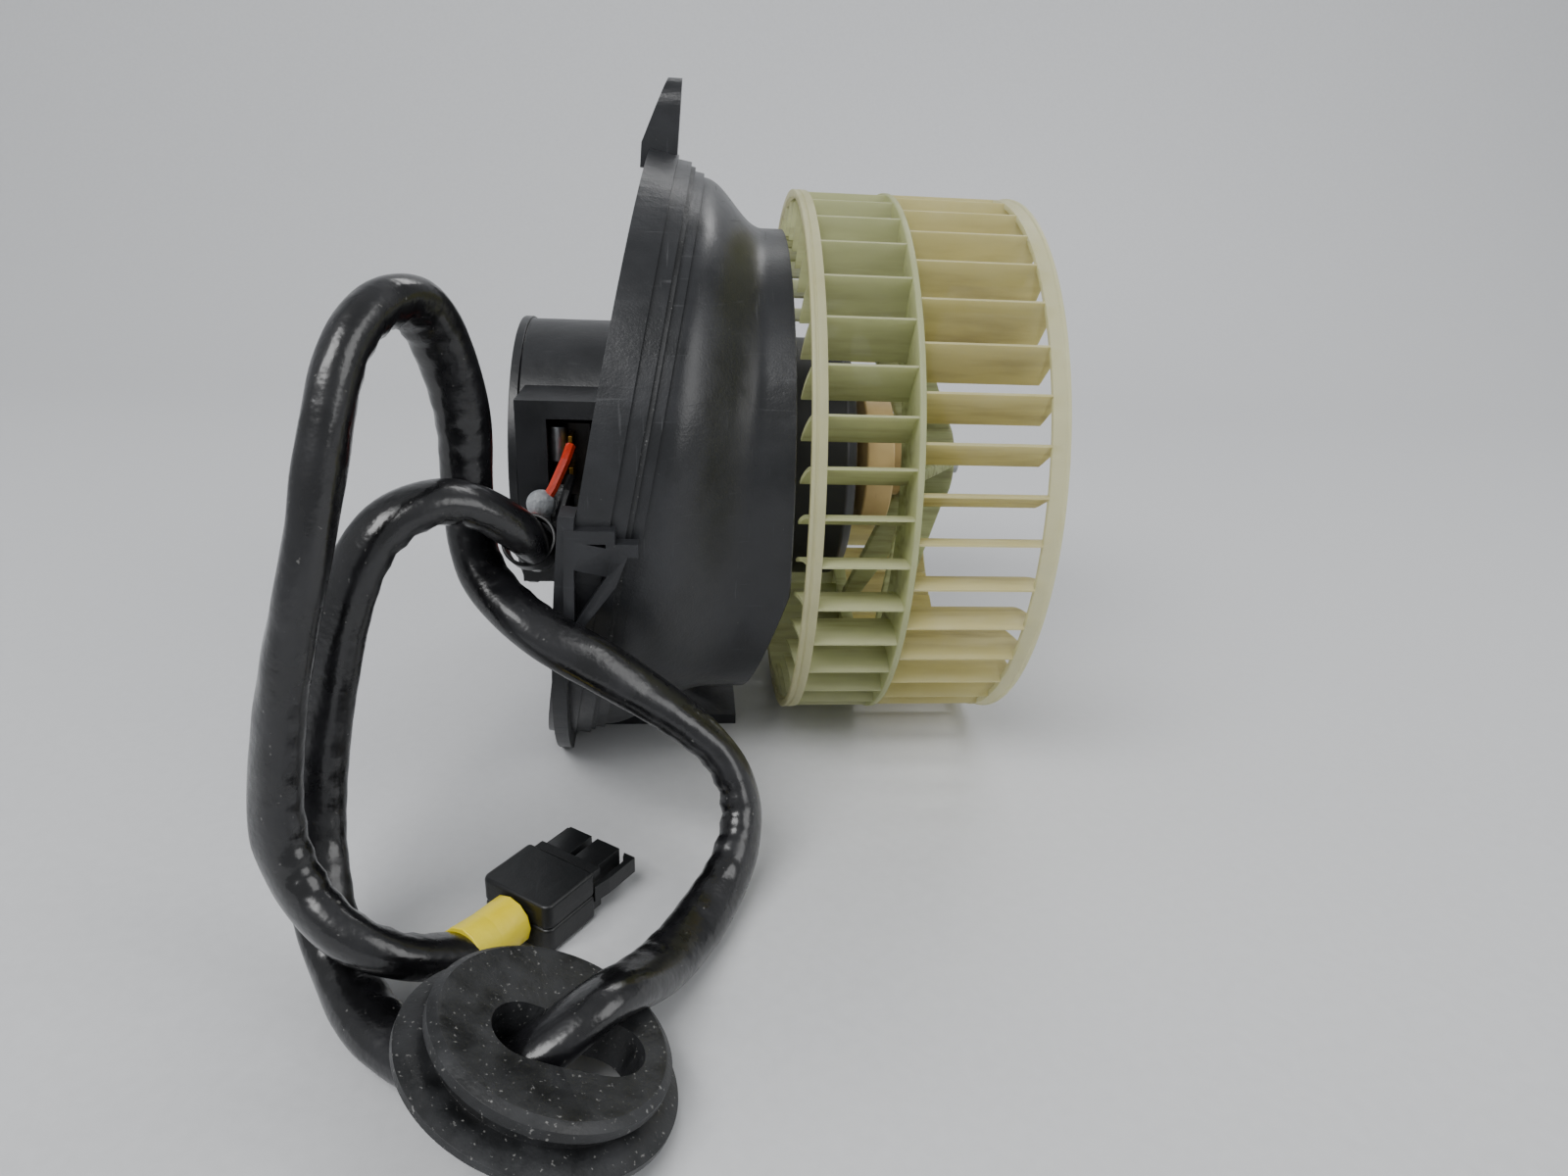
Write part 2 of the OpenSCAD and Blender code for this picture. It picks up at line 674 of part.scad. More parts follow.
// ---- Lead ----
module cable_sleeve() color("#121213") beside_wheel() swept(route, sleeve_d / 2);
module facing(at, towards) {
    d = unit(towards - at);
    translate(at) rotate([0, acos(d.z), atan2(d.y, d.x)]) children();
}
module cable_tie() color("#0e0e0e") beside_wheel()
    facing(route[0] * 0.8 + route[1] * 0.2, route[1])
    difference() {
        cylinder(d = sleeve_d + 2.4, h = 4, $fn = 48);
        translate([0, 0, -1]) cylinder(d = sleeve_d + 0.7, h = 6, $fn = 48);
    }
module stadium(length, width) {
    square([length - width, width], center = true);
    for (side = [-1, 1]) translate([side * (length - width) / 2, 0]) circle(d = width, $fn = 48);
}
module grommet() color("#17181a") beside_wheel() {
    tail_from = [-57.8, -160.4, 9.5];
    tail_to = [-72.8, -156.4, 8.5];
    difference() {
        union() {
            translate([-53.1, -161, grommet_d / 2 * sin(24) + 0.3]) rotate([-7.5, 22.7, 0])
                rotate_extrude($fn = round_fn) polygon([
                    [0, 0], [grommet_d / 2 - 1, 0], [grommet_d / 2, 1], [grommet_d / 2, 2.2],
                    [grommet_d / 2 - 3, 3.4], [grommet_d / 2 - 5.5, 3.4],
                    [grommet_d / 2 - 5.5, 5.6], [grommet_d / 2 - 3.5, 6.2],
                    [grommet_d / 2 - 3.5, 8], [grommet_d / 2 - 5, 9], [grommet_d / 2 - 7, 8.6],
                    [0, 6.4]
                ]);
            facing(tail_from, tail_to)
                cylinder(d = sleeve_d + 5, h = norm(tail_to - tail_from), $fn = 48);
        }
        translate([-51.1, -161.8, 8]) rotate([-7.5, 22.7, 0]) translate([0, 0, -1])
            linear_extrude(20) stadium(27, sleeve_d + 3);
        facing(tail_from + [8, -3, 0.5], tail_to)
            cylinder(d = sleeve_d + 0.6, h = 40, $fn = 48);
        translate([-far / 2, -far / 2, -far]) cube(far);
    }
}
module yellow_sleeve() color("#e8d21f") beside_wheel() swept(yellow_route, sleeve_d / 2 + 0.6, 12);
module in_plug() beside_wheel() translate(plug_at) rotate(plug_turn) children();
module rounded_plate(l, w, r) {
    translate([0, -w / 2 + r]) square([l, w - 2 * r]);
    translate([r, -w / 2]) square([l - r, w]);
    for (side = [-1, 1]) translate([r, side * (w / 2 - r)]) circle(r = r, $fn = 32);
}
module plug_half(side) in_plug()
    translate([0, 0, side > 0 ? 0 : -plug_h / 2]) linear_extrude(plug_h / 2)
        rounded_plate(plug_l, plug_w, 2);
module plug_cover() color("#1c1d1f") plug_half(1);
module plug_base() color("#18191b") plug_half(-1);
module plug_housing() color("#141516") in_plug() {
    tower_w = plug_w / 2 - 3;
    difference() {
        union() {
            block([plug_l, -plug_w / 2 + 1, -plug_h / 2 + 1], [plug_l + 3, plug_w / 2 - 1, plug_h / 2 - 1]);
            for (side = [-1, 1])
                translate([plug_l, side * (tower_w / 2 + 0.8) - tower_w / 2, -plug_h / 2 + 1.5])
                    cube([11, tower_w, plug_h - 3]);
            for (side = [-1, 1]) {
                mirror([0, side < 0 ? 1 : 0, 0])
                    translate([plug_l, 0, -2]) linear_extrude(4)
                        polygon([
                            [0, plug_w / 2 - 1], [0, plug_w / 2], [4, plug_w / 2 + 0.6],
                            [13, plug_w / 2 + 0.6], [13, plug_w / 2 - 2.6],
                            [11.6, plug_w / 2 - 1.8], [11.2, plug_w / 2 - 0.8],
                            [3, plug_w / 2 - 0.8], [3, plug_w / 2 - 1]
                        ]);
            }
        }
        for (side = [-1, 1])
            translate([plug_l + 2, side * (tower_w / 2 + 0.8) - tower_w / 2 + 0.9, -plug_h / 2 + 2.4])
                cube([12, tower_w - 1.8, plug_h - 4.8]);
    }
}
module plug_contacts() color("#b9a36a") in_plug()
    for (side = [-1, 1])
        translate([plug_l + 2, side * (plug_w / 4 - 0.7) - 0.4, -1.5]) cube([6, 0.8, 3]);

mounting_flange();
flange_seal();
air_funnel();
cable_bracket();
motor_cover();
terminal_box();
terminal_block();
terminals();
suppressor();
foam_block();
sealing_mastic();
red_lead();
black_lead();
motor_can();
isolator_rings();
field_magnets();
magnet_clips();
end_plate();
rear_bearing();
front_bearing();
brush_plate();
brush_holders();
upper_brush();
lower_brush();
upper_spring();
lower_spring();
choke_coils();
motor_shaft();
armature_core();
armature_windings();
commutator();
thrust_washers();
hub_insert();
hub_clip();
wheel_disc();
motor_side_blades();
free_side_blades();
motor_side_band();
free_side_band();
cable_sleeve();
cable_tie();
grommet();
yellow_sleeve();
plug_cover();
plug_base();
plug_housing();
plug_contacts();
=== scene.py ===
"""Cabin heater blower: the looks of a double-inlet fan wheel on a brushed motor, its
mounting flange and air funnel, and the sleeved lead with its grommet and plug.

Lengths inside the classes are in millimetres. +X runs along the wheel's axis away from
the motor, +Z is up, and places named s are counted along the axis from the wheel's
motor-side face.
"""

import logging
import math
from dataclasses import dataclass
from enum import Enum
from typing import Any, Callable, Sequence

import bmesh
import bpy
import numpy as np
from mathutils import Matrix, Vector, noise


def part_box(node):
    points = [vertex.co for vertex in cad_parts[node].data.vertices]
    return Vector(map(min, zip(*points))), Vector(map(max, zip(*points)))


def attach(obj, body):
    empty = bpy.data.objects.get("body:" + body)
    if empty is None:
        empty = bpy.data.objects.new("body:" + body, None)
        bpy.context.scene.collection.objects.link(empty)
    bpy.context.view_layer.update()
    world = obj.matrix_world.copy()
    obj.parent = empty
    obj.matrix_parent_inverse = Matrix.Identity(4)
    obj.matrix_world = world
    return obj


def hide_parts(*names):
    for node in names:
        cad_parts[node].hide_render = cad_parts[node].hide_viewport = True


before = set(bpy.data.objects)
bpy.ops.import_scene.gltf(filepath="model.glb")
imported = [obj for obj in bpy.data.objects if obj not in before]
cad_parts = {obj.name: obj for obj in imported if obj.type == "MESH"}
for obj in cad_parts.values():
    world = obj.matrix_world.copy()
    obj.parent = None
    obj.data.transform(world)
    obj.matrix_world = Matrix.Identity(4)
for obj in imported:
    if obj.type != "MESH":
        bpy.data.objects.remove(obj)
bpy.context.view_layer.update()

log = logging.getLogger("blower")
MM = 0.001
# edges of CAD copies that turn by more than this are rounded
SHARP_DEG = 32
Points = Sequence[Sequence[float]]
Socket = bpy.types.NodeSocket


class Body(Enum):
    """The bodies that new pieces ride on."""

    HOUSING = "housing"
    ROTOR = "rotor"


def linear(code: str) -> tuple[float, float, float, float]:
    """Turns an sRGB hex colour such as #1d1e20 into linear RGBA."""
    parts = [int(code[i : i + 2], 16) / 255 for i in (1, 3, 5)]
    low = [c / 12.92 if c <= 0.04045 else ((c + 0.055) / 1.055) ** 2.4 for c in parts]
    return (*low, 1.0)


def add(
    tree: bpy.types.NodeTree, kind: str, inputs: dict | None = None, **settings: Any
) -> bpy.types.Node:
    """Adds a node with its settings and links.

    Args:
        tree: The node tree that gets the node.
        kind: The node's type name.
        inputs: Socket name or number to a value, or to an output socket to link from.
        settings: The node's own properties.

    Returns:
        The new node.
    """
    made = tree.nodes.new(kind)
    for name, value in settings.items():
        setattr(made, name, value)
    for key, value in (inputs or {}).items():
        if isinstance(value, Socket):
            tree.links.new(value, made.inputs[key])
        else:
            made.inputs[key].default_value = value
    return made


# ---------------------------------------------------------------- finishes


@dataclass(frozen=True)
class Finish:
    """A surface finish: what the material is and how it was made."""

    name: str

    def material(self) -> bpy.types.Material:
        """Returns the finish's material, built the first time it is asked for."""
        found = bpy.data.materials.get(self.name)
        if found:
            return found
        made = bpy.data.materials.new(self.name)
        made.use_nodes = True
        made.node_tree.nodes.clear()
        shader = self.shader(made.node_tree)
        add(made.node_tree, "ShaderNodeOutputMaterial", {"Surface": shader})
        return made

    def shader(self, tree: bpy.types.NodeTree) -> Socket:
        """Builds the finish in the tree and returns its shader."""
        raise NotImplementedError

    def speckle(
        self,
        tree: bpy.types.NodeTree,
        size_mm: float,
        span: tuple[float, float] = (0.3, 0.7),
        stretch: tuple[float, float, float] = (1, 1, 1),
        detail: float = 2,
    ) -> Socket:
        """A noise on the piece's own coordinates, spread over 0 to 1.

        Args:
            tree: The material's tree.
            size_mm: Width of one patch of the noise.
            span: The part of the noise that is spread over 0 to 1.
            stretch: How much finer the noise is along each axis.
            detail: Octaves of finer noise.

        Returns:
            A value socket from 0 to 1.
        """
        place = add(tree, "ShaderNodeTexCoord").outputs["Object"]
        scaled = add(
            tree,
            "ShaderNodeMapping",
            {"Vector": place, "Scale": tuple(f / size_mm / MM for f in stretch)},
        )
        field_of = add(
            tree,
            "ShaderNodeTexNoise",
            {"Vector": scaled.outputs[0], "Scale": 1.0, "Detail": detail},
        )
        spread = add(
            tree,
            "ShaderNodeMapRange",
            {0: field_of.outputs[0], 1: span[0], 2: span[1], 3: 0.0, 4: 1.0},
        )
        return spread.outputs[0]

    def blend(
        self, tree: bpy.types.NodeTree, amount: Socket | float, low: Any, high: Any
    ) -> Socket:
        """Mixes two colours, each a hex code or a socket, by amount."""
        ends = [linear(c) if isinstance(c, str) else c for c in (low, high)]
        mixed = add(
            tree,
            "ShaderNodeMix",
            {0: amount, 6: ends[0], 7: ends[1]},
            data_type="RGBA",
        )
        return mixed.outputs[2]

    def scale(
        self, tree: bpy.types.NodeTree, value: Socket, low: float, high: float
    ) -> Socket:
        """Spreads a value from 0 to 1 over low to high."""
        return add(tree, "ShaderNodeMapRange", {0: value, 3: low, 4: high}).outputs[0]

    def bump(
        self,
        tree: bpy.types.NodeTree,
        height: Socket,
        depth_mm: float,
        under: Socket | None = None,
    ) -> Socket:
        """A bump of a real depth, on top of another bump where one is given."""
        inputs: dict[str, Any] = {
            "Height": height,
            "Distance": depth_mm * MM,
            "Strength": 1.0,
        }
        if under is not None:
            inputs["Normal"] = under
        return add(tree, "ShaderNodeBump", inputs).outputs[0]


@dataclass(frozen=True)
class MouldedPlastic(Finish):
    """Injection-moulded polypropylene or nylon: a satin skin with a fine spark-eroded
    grain that breaks up the highlights, faint scuffs from handling and a little dust."""

    colour: str = "#17181a"
    patch: str = "#222326"
    scuff: str = "#4a4b4e"
    roughness: float = 0.36
    grain_mm: float = 0.55
    grain_depth_mm: float = 0.012
    scuffing: float = 0.22
    dust: float = 0.14

    def shader(self, tree: bpy.types.NodeTree) -> Socket:
        """Builds the plastic and returns its shader."""
        patches = self.speckle(tree, 14, (0.35, 0.7), detail=4)
        grain = self.speckle(tree, self.grain_mm, (0.3, 0.7), detail=3)
        # handling scuffs are long thin scratches, so the noise is drawn out one way
        along = self.speckle(tree, 16, (0.66, 0.74), (1, 1, 22), detail=3)
        across = self.speckle(tree, 18, (0.67, 0.75), (20, 1, 1.5), detail=3)
        marks = add(
            tree, "ShaderNodeMath", {0: along, 1: across}, operation="MAXIMUM"
        ).outputs[0]
        specks = self.speckle(tree, 0.7, (0.77, 0.82), detail=2)
        body = self.blend(tree, patches, self.colour, self.patch)
        worn = self.blend(
            tree, self.scale(tree, marks, 0, self.scuffing), body, self.scuff
        )
        dusty = self.blend(
            tree, self.scale(tree, specks, 0, self.dust), worn, "#b9b8b4"
        )
        rough = add(
            tree,
            "ShaderNodeMath",
            {
                0: self.scale(tree, patches, self.roughness - 0.05, self.roughness + 0.07),
                1: self.scale(tree, marks, 0, 0.18),
            },
            operation="ADD",
        ).outputs[0]
        normal = self.bump(tree, grain, self.grain_depth_mm)
        normal = self.bump(tree, patches, 0.12, normal)
        return add(
            tree,
            "ShaderNodeBsdfPrincipled",
            {"Base Color": dusty, "Roughness": rough, "IOR": 1.5, "Normal": normal},
        ).outputs[0]


@dataclass(frozen=True)
class AgedNylon(Finish):
    """Natural nylon that has yellowed with age, with light coming through its thin walls.
    Its colour is painted paler at the blade tips and darker towards the roots, painted shade
    inside the wheel, and browner there in streaks, painted shade mixed with soiling."""

    # the colours run from pale at the blade tips to deep at the roots, which is painted shade;
    # the brown streaks are painted shade mixed with soiling
    pale: str = "#d9d6ae"
    deep: str = "#a9a56a"
    shade_and_dirt: str = "#6d5c36"
    through: str = "#d6cf93"
    glow: float = 0.4
    clear: float = 0.1
    root_r: float = 60.0
    tip_r: float = 75.0
    shade_and_dirt_amount: float = 0.5

    def shader(self, tree: bpy.types.NodeTree) -> Socket:
        """Builds the nylon and returns its shader."""
        origin = wheel_origin()
        place = add(tree, "ShaderNodeTexCoord").outputs["Object"]
        centred = add(
            tree,
            "ShaderNodeVectorMath",
            {0: place, 1: (0, -origin.y, -origin.z)},
            operation="ADD",
        ).outputs[0]
        flat = add(
            tree,
            "ShaderNodeVectorMath",
            {0: centred, 1: (0, 1, 1)},
            operation="MULTIPLY",
        ).outputs[0]
        radius = add(
            tree, "ShaderNodeVectorMath", {0: flat}, operation="LENGTH"
        ).outputs["Value"]
        # painted shade: 1 at the roots and 0 at the blade tips, darkening the colour towards the
        # inside of the wheel
        painted_root_shade = add(
            tree,
            "ShaderNodeMapRange",
            {0: radius, 1: self.root_r * MM, 2: self.tip_r * MM, 3: 1.0, 4: 0.0},
        ).outputs[0]
        cloud = self.speckle(tree, 9, (0.3, 0.72), detail=4)
        streak = self.speckle(tree, 7, (0.42, 0.72), (0.35, 2.5, 2.5), detail=4)
        toned = self.blend(tree, painted_root_shade, self.pale, self.deep)
        toned = self.blend(tree, self.scale(tree, cloud, 0, 0.35), toned, self.deep)
        # painted shade mixed with soiling: brown streaks that grow towards the roots, on the skin
        # and in the light coming through
        root_shade_and_grime = add(
            tree, "ShaderNodeMath", {0: painted_root_shade, 1: streak}, operation="MULTIPLY"
        ).outputs[0]
        shaded_and_soiled_colour = self.blend(
            tree, self.scale(tree, root_shade_and_grime, 0, self.shade_and_dirt_amount), toned, self.shade_and_dirt
        )
        fine = self.speckle(tree, 0.8, (0.3, 0.7), detail=2)
        normal = self.bump(tree, cloud, 0.1, self.bump(tree, fine, 0.008))
        rough = self.scale(tree, cloud, 0.3, 0.5)
        skin = add(
            tree,
            "ShaderNodeBsdfPrincipled",
            {"Base Color": shaded_and_soiled_colour, "Roughness": rough, "IOR": 1.53, "Normal": normal},
        ).outputs[0]
        lit = add(
            tree,
            "ShaderNodeBsdfTranslucent",
            {"Color": self.blend(tree, root_shade_and_grime, self.through, self.shade_and_dirt)},
        ).outputs[0]
        glowing = add(
            tree, "ShaderNodeMixShader", {0: self.glow, 1: skin, 2: lit}
        ).outputs[0]
        open_part = add(tree, "ShaderNodeBsdfTransparent").outputs[0]
        return add(
            tree, "ShaderNodeMixShader", {0: self.clear, 1: glowing, 2: open_part}
        ).outputs[0]


@dataclass(frozen=True)
class SoftPvc(Finish):
    """Plasticised PVC sleeving: a wet-looking gloss with long highlights, softened here
    and there by finger marks, with fine wrinkles where it bends."""

    colour: str = "#0b0b0c"
    patch: str = "#17171a"
    roughness: float = 0.2
    wrinkle_mm: float = 3.0
    wrinkle_depth_mm: float = 0.1
    dust: float = 0.15

    def shader(self, tree: bpy.types.NodeTree) -> Socket:
        """Builds the sleeving and returns its shader."""
        smears = self.speckle(tree, 11, (0.35, 0.68), detail=4)
        folds = self.speckle(tree, self.wrinkle_mm, (0.3, 0.7), detail=2)
        skin = self.speckle(tree, 0.5, (0.3, 0.7), detail=2)
        specks = self.speckle(tree, 1.1, (0.74, 0.79), detail=1)
        body = self.blend(tree, smears, self.colour, self.patch)
        dusty = self.blend(tree, self.scale(tree, specks, 0, self.dust), body, "#c9c8c2")
        normal = self.bump(tree, folds, self.wrinkle_depth_mm, self.bump(tree, skin, 0.005))
        rough = self.scale(tree, smears, self.roughness, self.roughness + 0.16)
        return add(
            tree,
            "ShaderNodeBsdfPrincipled",
            {
                "Base Color": dusty,
                "Roughness": rough,
                "IOR": 1.53,
                "Coat Weight": 0.25,
                "Coat Roughness": 0.12,
                "Normal": normal,
            },
        ).outputs[0]


@dataclass(frozen=True)
class VulcanisedRubber(Finish):
    """Moulded rubber: a dark, slightly greasy satin with grey bloom in patches and pale
    dust that clings to it."""

    colour: str = "#131415"
    bloom: str = "#2c2d2f"
    roughness: float = 0.45
    dust: float = 0.4

    def shader(self, tree: bpy.types.NodeTree) -> Socket:
        """Builds the rubber and returns its shader."""
        cloud = self.speckle(tree, 6, (0.35, 0.72), detail=5)
        pores = self.speckle(tree, 0.6, (0.3, 0.7), detail=3)
        specks = self.speckle(tree, 0.8, (0.66, 0.73), detail=2)
        body = self.blend(tree, cloud, self.colour, self.bloom)
        dusty = self.blend(tree, self.scale(tree, specks, 0, self.dust), body, "#a9a8a4")
        normal = self.bump(tree, cloud, 0.1, self.bump(tree, pores, 0.02))
        return add(
            tree,
            "ShaderNodeBsdfPrincipled",
            {
                "Base Color": dusty,
                "Roughness": self.scale(
                    tree, cloud, self.roughness - 0.08, self.roughness + 0.12
                ),
                "IOR": 1.52,
                "Normal": normal,
            },
        ).outputs[0]


@dataclass(frozen=True)
class BareMetal(Finish):
    """Plated, drawn or turned metal: tool lines run one way, and tarnish dulls it in
    patches."""

    colour: str = "#b9bcbf"
    tarnish: str = "#8a8c8e"
    roughness: float = 0.32
    lines: tuple[float, float, float] = (8, 1, 1)

    def shader(self, tree: bpy.types.NodeTree) -> Socket:
        """Builds the metal and returns its shader."""
        cloud = self.speckle(tree, 4, (0.35, 0.7), detail=4)
        tool = self.speckle(tree, 2, (0.3, 0.7), self.lines, detail=3)
        return add(
            tree,
            "ShaderNodeBsdfPrincipled",
            {
                "Base Color": self.blend(tree, cloud, self.colour, self.tarnish),
                "Metallic": 1.0,
                "Roughness": self.scale(
                    tree, cloud, self.roughness, self.roughness + 0.18
                ),
                "Normal": self.bump(tree, tool, 0.01),
            },
        ).outputs[0]


@dataclass(frozen=True)
class GrainyBody(Finish):
    """A pressed, cast, foamed or filled body: matt, with grains or pores of a real
    size."""

    colour: str = "#3a3a3d"
    grain: str = "#55555a"
    roughness: float = 0.75
    grain_mm: float = 0.7
    depth_mm: float = 0.05

    def shader(self, tree: bpy.types.NodeTree) -> Socket:
        """Builds the body and returns its shader."""
        grains = self.speckle(tree, self.grain_mm, (0.35, 0.68), detail=3)
        cloud = self.speckle(tree, 8, (0.3, 0.7), detail=3)
        body = self.blend(tree, grains, self.colour, self.grain)
        return add(
            tree,
            "ShaderNodeBsdfPrincipled",
            {
                "Base Color": self.blend(
                    tree, self.scale(tree, cloud, 0, 0.3), body, self.grain
                ),
                "Roughness": self.scale(
                    tree, grains, self.roughness - 0.1, self.roughness + 0.1
                ),
                "Normal": self.bump(tree, grains, self.depth_mm),
            },
        ).outputs[0]


BLACK_PLASTIC = MouldedPlastic("black_glass_filled_nylon")
# painted light: a slightly lighter copy of the black nylon of the cover and box, for the flange
# and funnel; its heavier scuffs and dust are wear
LIGHTER_LIT_FLANGE_PLASTIC = MouldedPlastic(
    "black_moulded_flange_nylon", colour="#1b1c1e", patch="#27282b", scuffing=0.3,
    roughness=0.33, grain_depth_mm=0.016, dust=0.2
)
BRACKET_PLASTIC = MouldedPlastic(
    "dark_moulded_polypropylene", colour="#1d1e21", patch="#2a2b2e", roughness=0.42
)
PLUG_PLASTIC = MouldedPlastic(
    "black_moulded_pbt_plug", colour="#121314", patch="#1b1c1d", roughness=0.36,
    scuffing=0.2,
)
GREEN_NYLON = AgedNylon(
    "greenish_aged_nylon_disc", pale="#d6d8b2", deep="#b0b784", through="#ccd29e",
    shade_and_dirt_amount=0.3, clear=0.1, glow=0.5,
)
GREEN_BLADE_NYLON = AgedNylon(
    "greenish_aged_nylon_blades", pale="#e2e2c2", deep="#c0c494", through="#d6daa8",
    shade_and_dirt="#8a8052", shade_and_dirt_amount=0.4, clear=0.16, glow=0.52,
)
AMBER_BLADE_NYLON = AgedNylon(
    "amber_aged_nylon_blades", pale="#e9e6c4", deep="#cfc377", through="#e6dd9c",
    shade_and_dirt="#8c7840", shade_and_dirt_amount=0.4, clear=0.16, glow=0.52,
)
BAND_NYLON = AgedNylon(
    "aged_nylon_bands", pale="#e0debb", deep="#cbc893", through="#e4e0b0",
    glow=0.4, clear=0.26, shade_and_dirt_amount=0.25, root_r=70,
)
CREAM_NYLON = MouldedPlastic(
    "cream_aged_nylon_hub", colour="#c2a873", patch="#a98f5c", scuff="#8b744a",
    roughness=0.42, grain_depth_mm=0.006, scuffing=0.4, dust=0.0,
)
WHITE_NYLON = MouldedPlastic(
    "white_nylon_washer", colour="#d8d4c4", patch="#c6c1ae", scuff="#a8a290",
    roughness=0.4, dust=0.0,
)
SLEEVE_PVC = SoftPvc("black_pvc_sleeving")
YELLOW_PVC = SoftPvc(
    "yellow_pvc_sleeving", colour="#e7cf08", patch="#f0dc2a", roughness=0.34,
    wrinkle_depth_mm=0.05, dust=0.0,
)
RED_PVC = SoftPvc("red_wire_pvc", colour="#b3240f", patch="#d2421f", roughness=0.35)
BLACK_PVC = SoftPvc("black_wire_pvc", roughness=0.35)
GROMMET_RUBBER = VulcanisedRubber("black_vulcanised_rubber")
SEAL_RUBBER = VulcanisedRubber("black_seal_rubber", dust=0.3)
PAINTED_STEEL = MouldedPlastic(
    "black_painted_steel", colour="#141517", patch="#1c1d20", roughness=0.3,
    grain_mm=0.9, grain_depth_mm=0.008, scuffing=0.3,
)
ZINC_STEEL = BareMetal("zinc_plated_steel")
BRASS = BareMetal("cut_brass_strip", "#b98f42", "#8a6730", 0.3)
COPPER = BareMetal("enamelled_copper", "#a6592c", "#7d3f1e", 0.35)
BRONZE = BareMetal("sintered_bronze", "#a5793f", "#7d5b30", 0.5)
LAMINATION = BareMetal("stacked_lamination_steel", "#77797c", "#5a5c5e", 0.5, (40, 1, 1))
FERRITE = GrainyBody("pressed_ferrite", "#37373a", "#4a4a4e")
CARBON = GrainyBody("pressed_carbon", "#232325", "#39393c", 0.6, 0.4, 0.02)
PHENOLIC = GrainyBody("phenolic_board", "#5b3a22", "#704b2e", 0.55, 1.2, 0.02)
FOAM = GrainyBody("open_cell_foam", "#4d4f50", "#8b8d8e", 0.95, 1.1, 0.35)
MASTIC = GrainyBody("grey_sealing_mastic", "#83868a", "#a7abae", 0.5, 2.5, 0.3)
BLOCK_PLASTIC = MouldedPlastic(
    "brown_moulded_phenolic_block", colour="#241f1c", patch="#2e2824", scuff="#4a4038"
)


# ---------------------------------------------------------------- shape helpers


def wheel_origin() -> Vector:
    """The middle of the wheel's motor-side face, in metres."""
    low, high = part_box("motor_side_band")
    return Vector((low.x, (low.y + high.y) / 2, (low.z + high.z) / 2))


def on_axis(points: np.ndarray) -> np.ndarray:
    """Turns millimetres from the wheel's motor-side face into metres in the frame."""
    return np.asarray(points, float) * MM + np.array(wheel_origin())


def mesh_piece(
    name: str, points: np.ndarray, faces: Points, smooth_deg: float = 40
) -> bpy.types.Object:
    """Makes a mesh object with merged points and faces that point outwards.

    Args:
        name: The piece's name.
        points: The corners, in metres.
        faces: The corner numbers of each face.
        smooth_deg: Edges sharper than this stay sharp.

    Returns:
        The piece, at the origin.
    """
    mesh = bpy.data.meshes.new(name)
    mesh.from_pydata([tuple(p) for p in points], [], [tuple(f) for f in faces])
    work = bmesh.new()
    work.from_mesh(mesh)
    bmesh.ops.remove_doubles(work, verts=work.verts, dist=1e-6)
    bmesh.ops.recalc_face_normals(work, faces=work.faces)
    work.to_mesh(mesh)
    work.free()
    piece = bpy.data.objects.new(name, mesh)
    bpy.context.scene.collection.objects.link(piece)
    shade(piece, smooth_deg)
    return piece


def shade(piece: bpy.types.Object, smooth_deg: float) -> None:
    """Smooths a piece's shading, apart from edges sharper than smooth_deg."""
    piece.data.polygons.foreach_set("use_smooth", [True] * len(piece.data.polygons))
    piece.data.set_sharp_from_angle(angle=math.radians(smooth_deg))


def loft(
    name: str,
    rings: np.ndarray,
    closed_along: bool = False,
    smooth_deg: float = 40,
) -> bpy.types.Object:
    """Joins rings of points into a skin.

    Args:
        name: The piece's name.
        rings: Rings by points by three, in metres.
        closed_along: Joins the last ring to the first; otherwise both ends get a cap.
        smooth_deg: Edges sharper than this stay sharp.

    Returns:
        The piece.
    """
    count, size = rings.shape[:2]
    faces: list[list[int]] = []
    for j in range(count if closed_along else count - 1):
        a, b = j * size, (j + 1) % count * size
        faces += [
            [a + k, b + k, b + (k + 1) % size, a + (k + 1) % size] for k in range(size)
        ]
    if not closed_along:
        faces += [list(range(size)), [(count - 1) * size + k for k in range(size)]]
    return mesh_piece(name, rings.reshape(-1, 3), faces, smooth_deg)


def rounded(outline: Points, radius: float, steps: int = 3) -> list[list[float]]:
    """Rounds the corners of a closed outline.

    Args:
        outline: The corners in turn.
        radius: How far back from a corner the rounding starts, at most.
        steps: Points in each rounding, less one.

    Returns:
        The rounded outline.
    """
    corners = [Vector(p) for p in outline]
    made: list[list[float]] = []
    for i, here in enumerate(corners):
        before, after = corners[i - 1] - here, corners[(i + 1) % len(corners)] - here
        cut = min(radius, before.length * 0.45, after.length * 0.45)
        start, end = here + before.normalized() * cut, here + after.normalized() * cut
        for k in range(steps + 1):
            t = k / steps
            made.append(list(start * (1 - t) ** 2 + here * 2 * t * (1 - t) + end * t * t))
    return made


def lathe(name: str, outline: Points, segments: int) -> bpy.types.Object:
    """Turns a closed outline of (s, radius) round the wheel's axis.

    Args:
        name: The piece's name.
        outline: Points (s, radius) in millimetres.
        segments: Points round the axis.

    Returns:
        The piece.
    """
    turn = 2 * np.pi * np.arange(segments) / segments
    rings = np.array(
        [
            np.stack([np.full(segments, s), r * np.cos(turn), r * np.sin(turn)], 1)
            for s, r in outline
        ]
    )
    return loft(name, on_axis(rings), closed_along=True)


def evaluated(piece: bpy.types.Object) -> bpy.types.Object:
    """Replaces a piece's mesh by what its modifiers make of it, and drops them."""
    depsgraph = bpy.context.evaluated_depsgraph_get()
    mesh = bpy.data.meshes.new_from_object(piece.evaluated_get(depsgraph))
    piece.modifiers.clear()
    piece.data = mesh
    mesh.name = piece.name
    return piece


